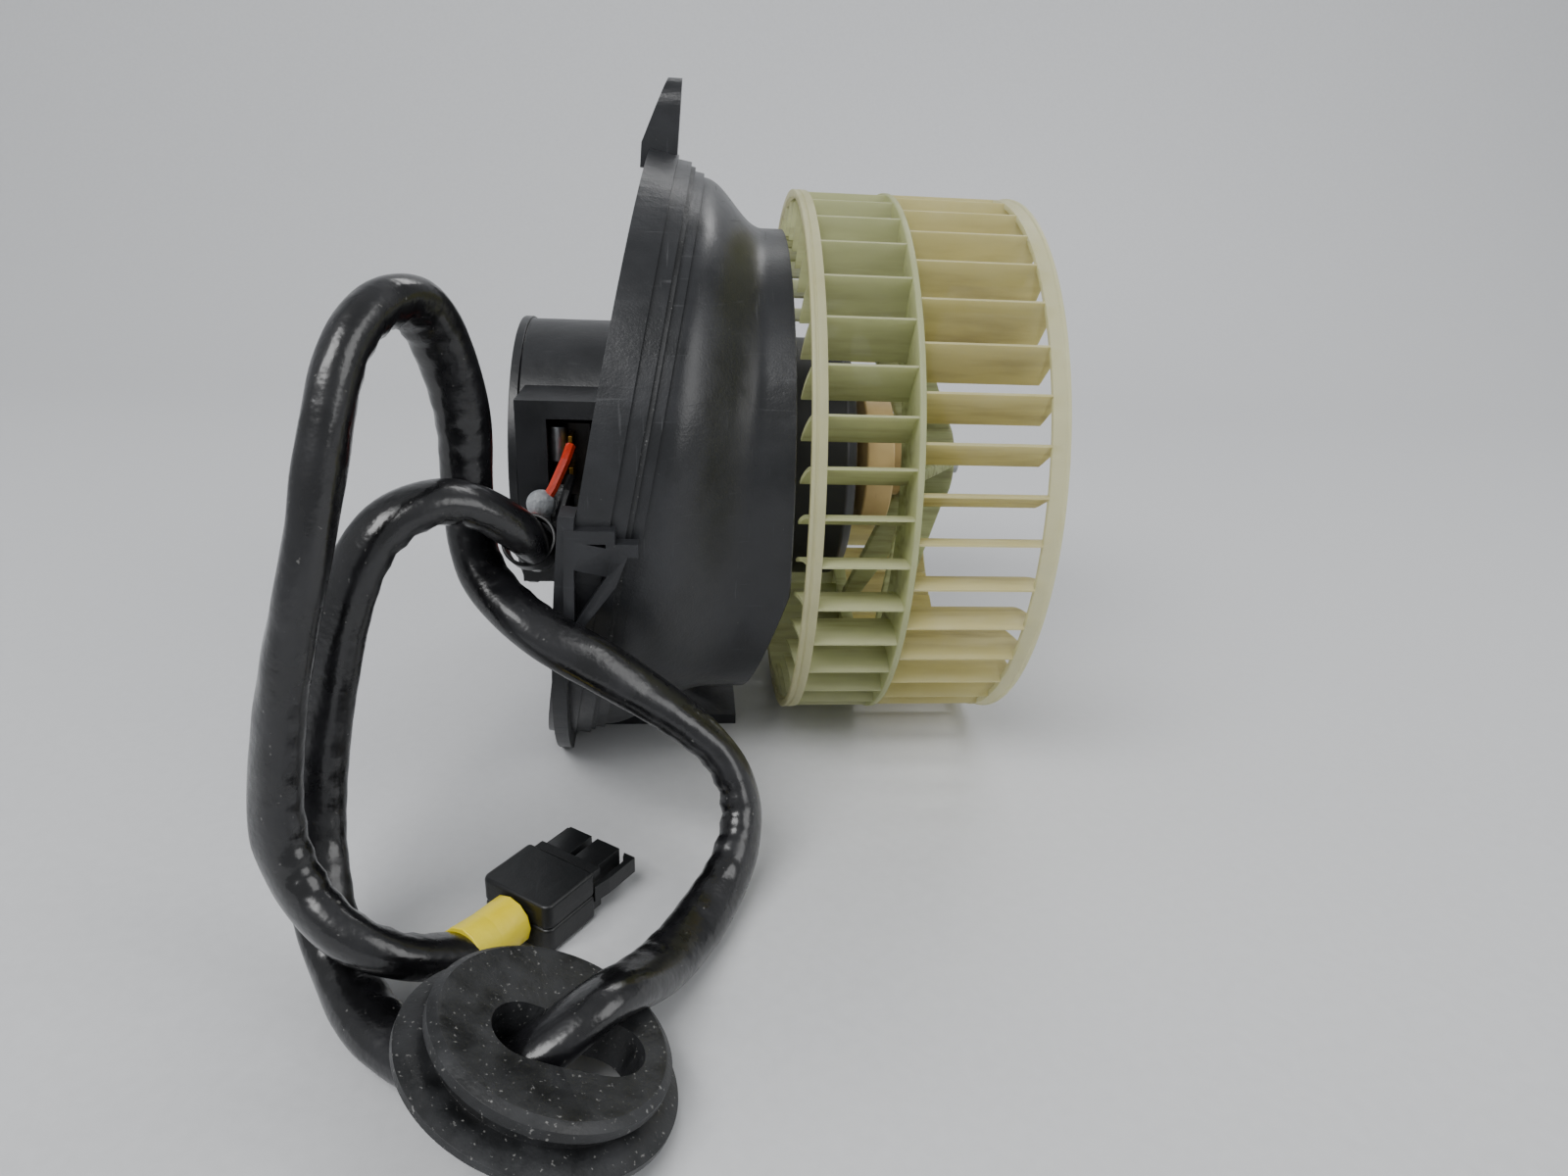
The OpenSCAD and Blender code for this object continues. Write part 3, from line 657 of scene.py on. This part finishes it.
def bevelled(piece: bpy.types.Object, edge_mm: float) -> bpy.types.Object:
    """Rounds a piece's sharp edges by edge_mm and returns it as a plain mesh."""
    bevel = piece.modifiers.new("edges", "BEVEL")
    bevel.width, bevel.segments = edge_mm * MM, 2
    bevel.limit_method, bevel.angle_limit = "ANGLE", math.radians(SHARP_DEG)
    bevel.use_clamp_overlap = True
    bevel.miter_outer = "MITER_ARC"
    bevel.harden_normals = True
    return evaluated(piece)


def polished(node: str, name: str, edge_mm: float) -> bpy.types.Object:
    """Copies a CAD node into a piece with flat facets joined and its edges rounded.

    Args:
        node: The CAD node's name.
        name: The new piece's name.
        edge_mm: Width of the rounding.

    Returns:
        The piece, a plain mesh.
    """
    mesh = bpy.data.meshes.new(name)
    work = bmesh.new()
    work.from_mesh(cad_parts[node].data)
    bmesh.ops.remove_doubles(work, verts=work.verts, dist=2e-6)
    bmesh.ops.dissolve_limit(
        work, angle_limit=math.radians(0.3), verts=work.verts, edges=work.edges
    )
    work.to_mesh(mesh)
    work.free()
    piece = bpy.data.objects.new(name, mesh)
    bpy.context.scene.collection.objects.link(piece)
    shade(piece, SHARP_DEG)
    return bevelled(piece, edge_mm)


def settle(
    piece: bpy.types.Object, finish: Finish, slot: str, body: Body, *nodes: str
) -> bpy.types.Object:
    """Gives a finished piece its material and body, and hides the nodes it stands for."""
    if not piece.data.materials:
        piece.data.materials.append(finish.material())
    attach(piece, body.value)
    if nodes:
        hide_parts(*nodes)
    log.info("%s: %d faces", piece.name, len(piece.data.polygons))
    return piece


def dress(node: str, finish: Finish) -> None:
    """Gives a CAD node that keeps its own mesh its material."""
    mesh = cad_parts[node].data
    mesh.materials.clear()
    mesh.materials.append(finish.material())
    mesh.polygons.foreach_set("material_index", [0] * len(mesh.polygons))
    log.info("%s keeps its CAD mesh", node)


@dataclass
class AroundAxis:
    """A Geometry Nodes tree that sets copies of one piece round the wheel's axis."""

    name: str
    count: int
    first_deg: float
    unevenness_deg: float = 0.0
    seed: int = 7

    def tree(self) -> tuple[bpy.types.NodeTree, dict[str, str]]:
        """Builds the tree.

        Returns:
            The tree, and the identifier of each of its named inputs.
        """
        tree = bpy.data.node_groups.new(self.name, "GeometryNodeTree")
        face = tree.interface
        face.new_socket("Geometry", in_out="INPUT", socket_type="NodeSocketGeometry")
        kinds = {
            "Count": "NodeSocketInt",
            "First Angle": "NodeSocketFloat",
            "Unevenness": "NodeSocketFloat",
            "Seed": "NodeSocketInt",
            "Axis": "NodeSocketVector",
            "Finish": "NodeSocketMaterial",
        }
        keys = {
            label: face.new_socket(label, in_out="INPUT", socket_type=kind).identifier
            for label, kind in kinds.items()
        }
        face.new_socket("Geometry", in_out="OUTPUT", socket_type="NodeSocketGeometry")
        given = add(tree, "NodeGroupInput").outputs
        index = add(tree, "GeometryNodeInputIndex").outputs[0]
        step = add(
            tree, "ShaderNodeMath", {0: 2 * math.pi, 1: given["Count"]}, operation="DIVIDE"
        ).outputs[0]
        even = add(
            tree,
            "ShaderNodeMath",
            {0: index, 1: step, 2: given["First Angle"]},
            operation="MULTIPLY_ADD",
        ).outputs[0]
        low = add(
            tree, "ShaderNodeMath", {0: given["Unevenness"], 1: -1.0}, operation="MULTIPLY"
        ).outputs[0]
        stray = add(
            tree,
            "FunctionNodeRandomValue",
            {2: low, 3: given["Unevenness"], "ID": index, "Seed": given["Seed"]},
            data_type="FLOAT",
        ).outputs[1]
        angle = add(tree, "ShaderNodeMath", {0: even, 1: stray}, operation="ADD").outputs[0]
        turn = add(tree, "ShaderNodeCombineXYZ", {"X": angle}).outputs[0]
        spots = add(tree, "GeometryNodePoints", {"Count": given["Count"]}).outputs[0]
        copies = add(
            tree,
            "GeometryNodeInstanceOnPoints",
            {
                "Points": spots,
                "Instance": given["Geometry"],
                "Rotation": add(tree, "FunctionNodeEulerToRotation", {0: turn}).outputs[0],
            },
        ).outputs[0]
        real = add(tree, "GeometryNodeRealizeInstances", {0: copies}).outputs[0]
        moved = add(
            tree,
            "GeometryNodeTransform",
            {"Geometry": real, "Translation": given["Axis"]},
        ).outputs[0]
        done = add(
            tree,
            "GeometryNodeSetMaterial",
            {"Geometry": moved, "Material": given["Finish"]},
        ).outputs[0]
        add(tree, "NodeGroupOutput", {0: done})
        return tree, keys

    def copies_of(self, piece: bpy.types.Object, finish: Finish) -> bpy.types.Object:
        """Turns one piece, made about the axis at the origin, into the whole row."""
        tree, keys = self.tree()
        layout = piece.modifiers.new(self.name, "NODES")
        layout.node_group = tree
        layout[keys["Count"]] = self.count
        layout[keys["First Angle"]] = math.radians(self.first_deg)
        layout[keys["Unevenness"]] = math.radians(self.unevenness_deg)
        layout[keys["Seed"]] = self.seed
        layout[keys["Axis"]] = tuple(wheel_origin())
        layout[keys["Finish"]] = finish.material()
        return evaluated(piece)


# ---------------------------------------------------------------- camera and lead


@dataclass
class Studio:
    """The camera, the soft lights and the pale sweep that the object stands on."""

    eye: tuple[float, float, float] = (-0.0222, -0.2895, 0.1513)
    heading_deg: float = 6.2
    pitch_deg: float = 22.0
    roll_deg: float = -2.7
    lens: float = 22.75
    floor_colour: str = "#c9cacc"

    def camera(self) -> bpy.types.Object:
        """Makes the camera at the object's viewing angle."""
        h, p, r = (math.radians(a) for a in (self.heading_deg, self.pitch_deg, self.roll_deg))
        ahead = Vector((math.sin(h) * math.cos(p), math.cos(h) * math.cos(p), -math.sin(p)))
        level = Vector((math.cos(h), -math.sin(h), 0))
        above = level.cross(ahead)
        right = level * math.cos(r) - above * math.sin(r)
        up = above * math.cos(r) + level * math.sin(r)
        data = bpy.data.cameras.new("camera")
        data.lens, data.sensor_width = self.lens, 36
        data.clip_start, data.clip_end = 0.01, 20
        camera = bpy.data.objects.new("camera", data)
        turn = Matrix((right, up, -ahead)).transposed().to_4x4()
        camera.matrix_world = Matrix.Translation(self.eye) @ turn
        bpy.context.scene.collection.objects.link(camera)
        bpy.context.scene.camera = camera
        return camera

    def lamp(
        self, name: str, place: Points, aim: Points, size: tuple[float, float], watts: float
    ) -> None:
        """Hangs one rectangular soft lamp at place, turned towards aim."""
        data = bpy.data.lights.new(name, "AREA")
        data.shape, data.size, data.size_y, data.energy = "RECTANGLE", *size, watts
        lamp = bpy.data.objects.new(name, data)
        lamp.location = place
        lamp.rotation_euler = (Vector(aim) - Vector(place)).to_track_quat("-Z", "Y").to_euler()
        bpy.context.scene.collection.objects.link(lamp)

    def build(self) -> None:
        """Makes the camera, the lamps, the sky and the sweep."""
        self.camera()
        self.lamp("key_lamp", (-0.5, -0.7, 1.1), (0, 0, 0.06), (0.9, 0.6), 15)
        self.lamp("fill_lamp", (1.1, -0.5, 0.7), (0, 0, 0.06), (0.7, 0.9), 6)
        self.lamp("back_lamp", (0.3, 1.0, 1.1), (0, 0, 0.08), (1.2, 0.5), 12)
        world = bpy.data.worlds.new("studio")
        world.use_nodes = True
        world.node_tree.nodes["Background"].inputs[0].default_value = linear("#eef1f4")
        world.node_tree.nodes["Background"].inputs[1].default_value = 0.55
        bpy.context.scene.world = world
        # the floor runs back and curves up into a wall, so there is no hard horizon
        profile = [(-1.6, 0.0), (0.45, 0.0)]
        profile += [
            (0.45 + 0.5 * math.sin(a), 0.5 - 0.5 * math.cos(a))
            for a in np.linspace(0.1, math.pi / 2, 12)
        ]
        profile.append((0.95, 2.5))
        corners = [(x, y, z) for y, z in profile for x in (-3.0, 3.0)]
        faces = [[2 * i, 2 * i + 1, 2 * i + 3, 2 * i + 2] for i in range(len(profile) - 1)]
        sweep = mesh_piece("studio_sweep", np.array(corners), faces, 60)
        sweep.data.materials.append(
            GrainyBody("pale_paper_sweep", self.floor_colour, "#cdced0", 0.6, 3, 0.02).material()
        )


@dataclass
class Lead:
    """The sleeved lead: two wires in a soft flattened sleeve that leaves the bracket,
    loops down to the grommet, comes back up and over, and goes down to the plug."""

    width: float = 11.6
    thickness: float = 8.4
    sides: int = 28
    step: float = 1.6
    # how the flattened section wavers along the sleeve, and how square its corners are
    slow_mm: float = 26.0
    quick_mm: float = 9.0
    wide_power: float = 0.86
    thin_power: float = 0.92
    # surface unevenness, and the creases on the inside of a tight bend
    uneven_mm: float = 0.16
    crease_mm: float = 0.55
    crease_pitch_mm: float = 6.4
    full_crease_bend: float = 90.0
    route: Points = (
        (-0.0557, -0.0720, 0.0724), (-0.0580, -0.0844, 0.0813), (-0.0680, -0.0926, 0.0900),
        (-0.0790, -0.1000, 0.0882), (-0.0860, -0.1039, 0.0781), (-0.0912, -0.1069, 0.0613),
        (-0.0948, -0.1099, 0.0433), (-0.0958, -0.1158, 0.0264), (-0.0928, -0.1244, 0.0144),
        (-0.0864, -0.1346, 0.0082), (-0.0787, -0.1455, 0.0065), (-0.0676, -0.1548, 0.0070),
        (-0.0563, -0.1610, 0.0086), (-0.0454, -0.1603, 0.0142), (-0.0363, -0.1534, 0.0174),
        (-0.0304, -0.1444, 0.0127), (-0.0246, -0.1333, 0.0080), (-0.0171, -0.1189, 0.0070),
        (-0.0108, -0.1060, 0.0101), (-0.0085, -0.0967, 0.0180), (-0.0132, -0.0919, 0.0291),
        (-0.0257, -0.0903, 0.0406), (-0.0409, -0.0909, 0.0520), (-0.0547, -0.0900, 0.0608),
        (-0.0669, -0.0807, 0.0703), (-0.0696, -0.0748, 0.0856), (-0.0691, -0.0755, 0.1019),
        (-0.0701, -0.0827, 0.1174), (-0.0725, -0.0915, 0.1280), (-0.0770, -0.1018, 0.1287),
        (-0.0809, -0.1115, 0.1212), (-0.0834, -0.1183, 0.1067), (-0.0868, -0.1225, 0.0897),
        (-0.0914, -0.1250, 0.0723), (-0.0949, -0.1277, 0.0544), (-0.0959, -0.1311, 0.0381),
        (-0.0918, -0.1341, 0.0274), (-0.0844, -0.1388, 0.0213), (-0.0746, -0.1382, 0.0147),
        (-0.0658, -0.1303, 0.0080),
    )
    # turn of the flat side, in degrees, at shares of the length
    twist: Points = (
        (0.0, 20), (0.06, 55), (0.14, 10), (0.24, -30), (0.36, -20), (0.44, 60),
        (0.5, 95), (0.56, 40), (0.62, 85), (0.72, 30), (0.8, 75), (0.92, 20), (1.0, 60),
    )

    def centreline(self) -> np.ndarray:
        """The route as a smooth line with points one step apart, in metres."""
        p = np.array(self.route)
        q = np.vstack([2 * p[0] - p[1], p, 2 * p[-1] - p[-2]])
        t = np.linspace(0, 1, 24, endpoint=False)[:, None]
        parts = [
            0.5
            * (
                2 * q[i + 1]
                + (q[i + 2] - q[i]) * t
                + (2 * q[i] - 5 * q[i + 1] + 4 * q[i + 2] - q[i + 3]) * t**2
                + (3 * q[i + 1] - q[i] - 3 * q[i + 2] + q[i + 3]) * t**3
            )
            for i in range(len(p) - 1)
        ]
        line = np.vstack([*parts, p[-1:]])
        run = np.r_[0, np.cumsum(np.linalg.norm(np.diff(line, axis=0), axis=1))]
        even = np.linspace(0, run[-1], int(run[-1] / self.step / MM))
        line = np.stack([np.interp(even, run, line[:, k]) for k in range(3)], 1)
        for _ in range(8):
            line[1:-1] = line[1:-1] * 0.5 + (line[:-2] + line[2:]) * 0.25
        return line

    def build(self) -> bpy.types.Object:
        """Makes the sleeve as one closed tube along the centreline."""
        line = self.centreline()
        ahead = np.gradient(line, axis=0)
        ahead /= np.linalg.norm(ahead, axis=1)[:, None]
        bend = np.gradient(ahead, self.step * MM, axis=0)
        share = np.linspace(0, 1, len(line))
        turn = np.radians(np.interp(share, *np.array(self.twist).T))
        side = np.array([0.0, 0.0, 1.0])
        angle = 2 * np.pi * np.arange(self.sides) / self.sides
        rings = []
        for i, here in enumerate(line):
            side = side - ahead[i] * side.dot(ahead[i])
            side /= np.linalg.norm(side)
            other = np.cross(ahead[i], side)
            flat = side * math.cos(turn[i]) + other * math.sin(turn[i])
            thin = np.cross(ahead[i], flat)
            rings.append(here + self.section(i * self.step, angle, flat, thin, bend[i]))
        sleeve = loft("lead_sleeve", np.array(rings), smooth_deg=80)
        log.info("lead length %.4f m", np.linalg.norm(np.diff(line, axis=0), axis=1).sum())
        return sleeve

    def section(
        self, run: float, angle: np.ndarray, flat: np.ndarray, thin: np.ndarray,
        bend: np.ndarray,
    ) -> np.ndarray:
        """One ring of the sleeve about its centre.

        Args:
            run: Millimetres along the sleeve.
            angle: The ring's angles.
            flat: Direction of the wide side.
            thin: Direction of the thin side.
            bend: Curvature there, in 1/m, pointing to the inside of the bend.

        Returns:
            Points about the centre, in metres.
        """
        slow = noise.noise(Vector((run / self.slow_mm, 3.1, 0)))
        quick = noise.noise(Vector((run / self.quick_mm, 8.7, 0)))
        wide = self.width / 2 * (1 + 0.05 * slow)
        slim = self.thickness / 2 * (1 - 0.07 * slow + 0.04 * quick)
        c, s = np.cos(angle), np.sin(angle)
        x = wide * np.sign(c) * np.abs(c) ** self.wide_power
        y = slim * np.sign(s) * np.abs(s) ** self.thin_power
        rough = np.array(
            [noise.noise(Vector((run / 7, 1.6 * a, 1.6 * b))) for a, b in zip(c, s)]
        )
        out = x[:, None] * flat + y[:, None] * thin
        unit = out / np.linalg.norm(out, axis=1)[:, None]
        tight = np.clip(np.linalg.norm(bend) / self.full_crease_bend, 0, 1)
        inside = np.clip(unit @ (bend / max(np.linalg.norm(bend), 1e-6)), 0, 1)
        fold = math.sin(2 * math.pi * run / self.crease_pitch_mm)
        crease = self.crease_mm * tight * inside * fold
        return (out + unit * (self.uneven_mm * rough + crease)[:, None]) * MM


def build_lead_pieces() -> tuple[Lead, bpy.types.Object]:
    """Makes the sleeve first, because the rest of the lead sits on it."""
    lead = Lead()
    sleeve = lead.build()
    settle(sleeve, SLEEVE_PVC, "sleeve_pvc", Body.HOUSING, "cable_sleeve")
    return lead, sleeve


# ---------------------------------------------------------------- fan wheel


@dataclass
class FanWheel:
    """The double-inlet wheel: two rows of forward-curved blades on a dividing disc, with
    a band round each open end and six spokes to the hub."""

    count: int = 39
    root_r: float = 62.5
    blade_r: float = 74.6
    band_r: float = 73.0
    wheel_r: float = 75.0
    width: float = 61.0
    disc_s: float = 24.9
    disc_t: float = 1.6
    band_motor_w: float = 3.7
    band_free_w: float = 4.4
    lead_deg: float = 3.7
    camber_deg: float = 1.1
    blade_t: float = 1.0
    slant: float = 3.0
    phase_deg: float = 5.0
    hub_r: float = 12.0
    hub_bore_r: float = 4.01
    hub_from: float = 36.0
    hub_to: float = 50.5
    spoke_count: int = 6
    spoke_half_t: float = 1.5
    spoke_first_deg: float = 20.0
    segments: int = 234

    def blade_at(self, t: float) -> np.ndarray:
        """A point on the blade's middle line, t from 0 at the root to 1 at the tip."""
        r = self.root_r + (self.blade_r - self.root_r) * t
        a = math.radians(-self.lead_deg * t - self.camber_deg * 4 * t * (1 - t))
        return r * np.array([math.cos(a), math.sin(a)])

    def blade(self, name: str, near: Callable, far: Callable) -> bpy.types.Object:
        """One blade about the axis at the origin.

        Args:
            name: The piece's name.
            near: Gives the blade's start along the axis at a radius.
            far: Gives its end.

        Returns:
            The blade, a closed plate with rounded long edges.
        """
        steps, along = 9, 5
        middle = [self.blade_at(k / steps) for k in range(steps + 1)]
        middle = np.array(middle)
        tangent = np.gradient(middle, axis=0)
        tangent /= np.linalg.norm(tangent, axis=1)[:, None]
        normal = np.stack([-tangent[:, 1], tangent[:, 0]], 1)
        # the plate thins towards its tip, and both edges are rounded
        half = self.blade_t / 2 * np.linspace(1.12, 0.86, steps + 1)[:, None]
        half[0] *= 0.62
        half[-1] *= 0.62
        outline = np.vstack([middle + normal * half, (middle - normal * half)[::-1]])
        rings = []
        for v in np.linspace(0, 1, along + 1):
            ring = []
            for y, z in outline:
                r = math.hypot(y, z)
                ring.append([near(r) + (far(r) - near(r)) * v, y, z])
            rings.append(ring)
        return loft(name, np.array(rings) * MM, smooth_deg=50)

    def inlet_edge(self, r: float, band: float, drop: float) -> float:
        """How far a blade's free end stands back from the wheel's face at radius r."""
        if r > self.band_r + 0.05:
            return band
        return 0.3 + drop * (self.band_r - r) / (self.band_r - self.root_r)

    def rows(self) -> None:
        """Makes the two rows of blades."""
        for name, finish, slot, near, far, phase in (
            (
                "motor_side_blade_row", GREEN_BLADE_NYLON, "green_nylon",
                lambda r: self.inlet_edge(r, self.band_motor_w, -self.slant / 2),
                lambda r: self.disc_s, self.phase_deg,
            ),
            (
                "free_side_blade_row", AMBER_BLADE_NYLON, "amber_nylon",
                lambda r: self.disc_s + self.disc_t,
                lambda r: self.width - self.inlet_edge(r, self.band_free_w, self.slant),
                self.phase_deg + 180 / self.count,
            ),
        ):
            blade = self.blade(name, near, far)
            row = AroundAxis(name + "_layout", self.count, phase, 0.12)
            row.copies_of(blade, finish)
            node = name.replace("_row", "s")
            settle(blade, finish, slot, Body.ROTOR, node)

    def bands(self) -> None:
        """Makes the two rim bands, with their fine ridges and lip."""
        w = self.width
        motor = [
            (0, self.band_r), (0, self.wheel_r), (0.9, self.wheel_r),
            (1.0, self.wheel_r - 0.3), (1.5, self.wheel_r - 0.3), (1.6, self.wheel_r),
            (self.band_motor_w, self.wheel_r - 0.1), (self.band_motor_w, self.band_r),
        ]
        free = [
            (w - self.band_free_w, self.band_r), (w - self.band_free_w, self.wheel_r - 0.4),
            (w - 1.1, self.wheel_r - 0.4), (w - 0.9, self.wheel_r), (w, self.wheel_r),
            (w, self.band_r),
        ]
        for name, outline, slot in (
            ("motor_side_rim_band", motor, "green_nylon"),
            ("free_side_rim_band", free, "amber_nylon"),
        ):
            band = lathe(name, rounded(outline, 0.3, 2), self.segments)
            settle(band, BAND_NYLON, slot, Body.ROTOR, name.replace("_rim", ""))

    def disc(self) -> None:
        """Makes the dividing disc with its spokes and hub."""
        d, t, r = self.disc_s, self.disc_t, self.root_r
        ring = lathe(
            "wheel_disc_moulding",
            rounded(
                [
                    (d - 0.8, r - 4), (d, r), (d, self.wheel_r), (d + t, self.wheel_r),
                    (d + t, r), (d + t + 1.5, r - 4),
                ],
                0.4, 2,
            ),
            self.segments,
        )
        ring.data.materials.append(GREEN_NYLON.material())
        bore, hub_r, start, end = self.hub_bore_r, self.hub_r, self.hub_from, self.hub_to
        hub = lathe(
            "hub", rounded([(start, bore), (start, hub_r), (end, hub_r), (end, bore)], 0.8), 96
        )
        hub.data.materials.append(GREEN_NYLON.material())
        profile = rounded(
            [(d, r - 1), (d + t + 1.5, r - 1), (50, 11.5), (50, 6), (37, 6), (37, 11.5),
             (d - 0.8, r - 3.5)], 1.0, 2,
        )
        half = self.spoke_half_t
        rings = np.array([[[s, side, q] for s, q in profile] for side in (-half, half)])
        spoke = bevelled(loft("spoke", rings * MM), 0.5)
        layout = AroundAxis("spoke_layout", self.spoke_count, self.spoke_first_deg)
        spokes = layout.copies_of(spoke, GREEN_NYLON)
        joined(ring, hub, spokes)
        settle(ring, GREEN_NYLON, "green_nylon", Body.ROTOR, "wheel_disc")

    def build(self) -> None:
        """Makes the whole wheel."""
        self.rows()
        self.bands()
        self.disc()
        settle(
            polished("hub_insert", "cream_hub_insert", 0.6),
            CREAM_NYLON, "cream_nylon", Body.ROTOR, "hub_insert",
        )


def joined(main: bpy.types.Object, *others: bpy.types.Object) -> bpy.types.Object:
    """Joins other pieces into main, and removes them."""
    work = bmesh.new()
    for piece in (main, *others):
        work.from_mesh(piece.data)
    work.to_mesh(main.data)
    work.free()
    for piece in others:
        bpy.data.objects.remove(piece)
    shade(main, 40)
    return main


# ---------------------------------------------------------------- flange and funnel


@dataclass
class AirFunnel:
    """The funnel from the tilted flange to the collar: round above, squared below."""

    start_r: float = 79.5
    flange_t: float = 14.9
    flange_s: float = -45.9
    tilt_deg: float = 10.4
    collar_r: float = 64.5
    drop: float = 56.0
    gap: float = 2.3
    wall: float = 2.2
    floor_z: float = -76.0
    foot_t: float = 3.0
    flare_part: float = 0.75
    squareness: float = 2 / 4.5
    cut_top: float = -19.0
    cut_slope: float = 0.33
    around: int = 200
    along: int = 30

    def ring(self, u: float, inset: float) -> np.ndarray:
        """One ring of the shell, u from 0 at the flange to 1 at the collar."""
        tilt = math.radians(self.tilt_deg)
        a = 2 * np.pi * np.arange(self.around) / self.around
        c, s = np.cos(a), np.sin(a)
        r = self.start_r - inset
        z = r * s * math.cos(tilt) - self.flange_t / 2 * math.sin(tilt)
        z = np.maximum(z, self.floor_z + self.foot_t + 0.5 + inset)
        front = self.flange_s + self.flange_t / 2 / math.cos(tilt)
        start = np.stack([front + z * math.tan(tilt), r * c, z], 1)
        q, d = self.collar_r - inset, self.drop - inset
        y = np.where(s >= 0, q * c, q * np.sign(c) * np.abs(c) ** self.squareness)
        z = np.where(s >= 0, q * s, -d * np.abs(s) ** self.squareness)
        end_s = -self.gap - self.cut_slope * np.maximum(0, self.cut_top - z)
        end = np.stack([end_s, y, z], 1)
        w = (1 + math.cos(math.pi * u / self.flare_part)) / 2 if u < self.flare_part else 0
        mixed = start * w + end * (1 - w)
        mixed[:, 0] = start[:, 0] + (end[:, 0] - start[:, 0]) * u
        return mixed

    def build(self) -> None:
        """Makes the shell, with its collar edge rounded."""
        steps = [k / self.along for k in range(self.along)]
        rings = [self.ring(u, 0) for u in steps]
        # the collar's edge is rolled over in four small steps
        for back, inset in ((0.008, 0.0), (0.0, 0.5), (0.0, self.wall - 0.5), (0.008, self.wall)):
            rings.append(self.ring(1 - back, inset))
        rings += [self.ring(u, self.wall) for u in reversed(steps)]
        shell = loft("air_funnel_shell", on_axis(np.array(rings)), closed_along=True)
        settle(shell, LIGHTER_LIT_FLANGE_PLASTIC, "black_plastic", Body.HOUSING, "air_funnel")


@dataclass
class Housing:
    """The flange, bracket, rear cover and terminal box, with what the box holds."""

    def build(self) -> None:
        """Makes every piece of the housing."""
        for node, name, edge, finish, slot in (
            ("mounting_flange", "mounting_flange_moulding", 0.5, LIGHTER_LIT_FLANGE_PLASTIC, "black_plastic"),
            ("cable_bracket", "cable_bracket_moulding", 0.4, BRACKET_PLASTIC, "bracket_plastic"),
            ("motor_cover", "motor_cover_moulding", 0.5, BLACK_PLASTIC, "black_plastic"),
            ("terminal_box", "terminal_box_moulding", 0.4, BLACK_PLASTIC, "black_plastic"),
            ("terminal_block", "terminal_block_moulding", 0.3, BLOCK_PLASTIC, "phenolic"),
            ("terminals", "brass_terminals", 0.15, BRASS, "brass"),
            ("suppressor", "suppressor_can", 0.4, ZINC_STEEL, "zinc_steel"),
            ("foam_block", "foam_block_cut", 0.6, FOAM, "foam"),
            ("motor_can", "motor_can_pressing", 1.0, PAINTED_STEEL, "black_painted_steel"),
        ):
            piece = polished(node, name, edge)
            settle(piece, finish, slot, Body.HOUSING, node)


@dataclass
class Drive:
    """The motor's inside, which keeps its CAD meshes and gets its finishes."""

    def build(self) -> None:
        """Dresses every node that keeps its CAD mesh."""
        for finish, nodes in (
            (SEAL_RUBBER, ("flange_seal", "isolator_rings")),
            (MASTIC, ("sealing_mastic",)),
            (RED_PVC, ("red_lead",)),
            (BLACK_PVC, ("black_lead",)),
            (FERRITE, ("field_magnets",)),
            (
                ZINC_STEEL,
                ("magnet_clips", "end_plate", "upper_spring", "lower_spring",
                 "motor_shaft", "hub_clip"),
            ),
            (BRONZE, ("rear_bearing", "front_bearing")),
            (PHENOLIC, ("brush_plate",)),
            (BRASS, ("brush_holders",)),
            (CARBON, ("upper_brush", "lower_brush")),
            (COPPER, ("choke_coils", "armature_windings", "commutator")),
            (LAMINATION, ("armature_core",)),
            (WHITE_NYLON, ("thrust_washers",)),
        ):
            for node in nodes:
                dress(node, finish)


# ---------------------------------------------------------------- grommet and plug


@dataclass
class LeadEnds:
    """The pieces on the lead: tie, grommet, yellow sleeve and plug."""

    def build(self) -> list[bpy.types.Object]:
        """Makes the pieces and returns them."""
        made = []
        for node, name, edge, finish, slot in (
            ("grommet", "bulkhead_grommet", 0.8, GROMMET_RUBBER, "grommet_rubber"),
            ("yellow_sleeve", "yellow_sleeve_tube", 0.3, YELLOW_PVC, "yellow_pvc"),
            ("plug_cover", "plug_upper_half", 0.8, PLUG_PLASTIC, "plug_plastic"),
            ("plug_base", "plug_lower_half", 0.8, PLUG_PLASTIC, "plug_plastic"),
            ("plug_housing", "plug_tower_housing", 0.25, PLUG_PLASTIC, "plug_plastic"),
            ("plug_contacts", "plug_contact_blades", 0.1, BRASS, "brass"),
        ):
            piece = polished(node, name, edge)
            made.append(settle(piece, finish, slot, Body.HOUSING, node))
        tie = polished("cable_tie", "cable_tie_ring", 0.3)
        settle(tie, PLUG_PLASTIC, "plug_plastic", Body.HOUSING, "cable_tie")
        return made


def main() -> None:
    """Builds the studio and every sub-assembly in order."""
    logging.basicConfig(level=logging.INFO, format="%(message)s")
    Studio().build()
    lead, sleeve = build_lead_pieces()
    on_lead = LeadEnds().build()
    line = lead.centreline()
    FanWheel().build()
    AirFunnel().build()
    Housing().build()
    Drive().build()
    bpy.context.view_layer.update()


if __name__ == "__main__":
    main()
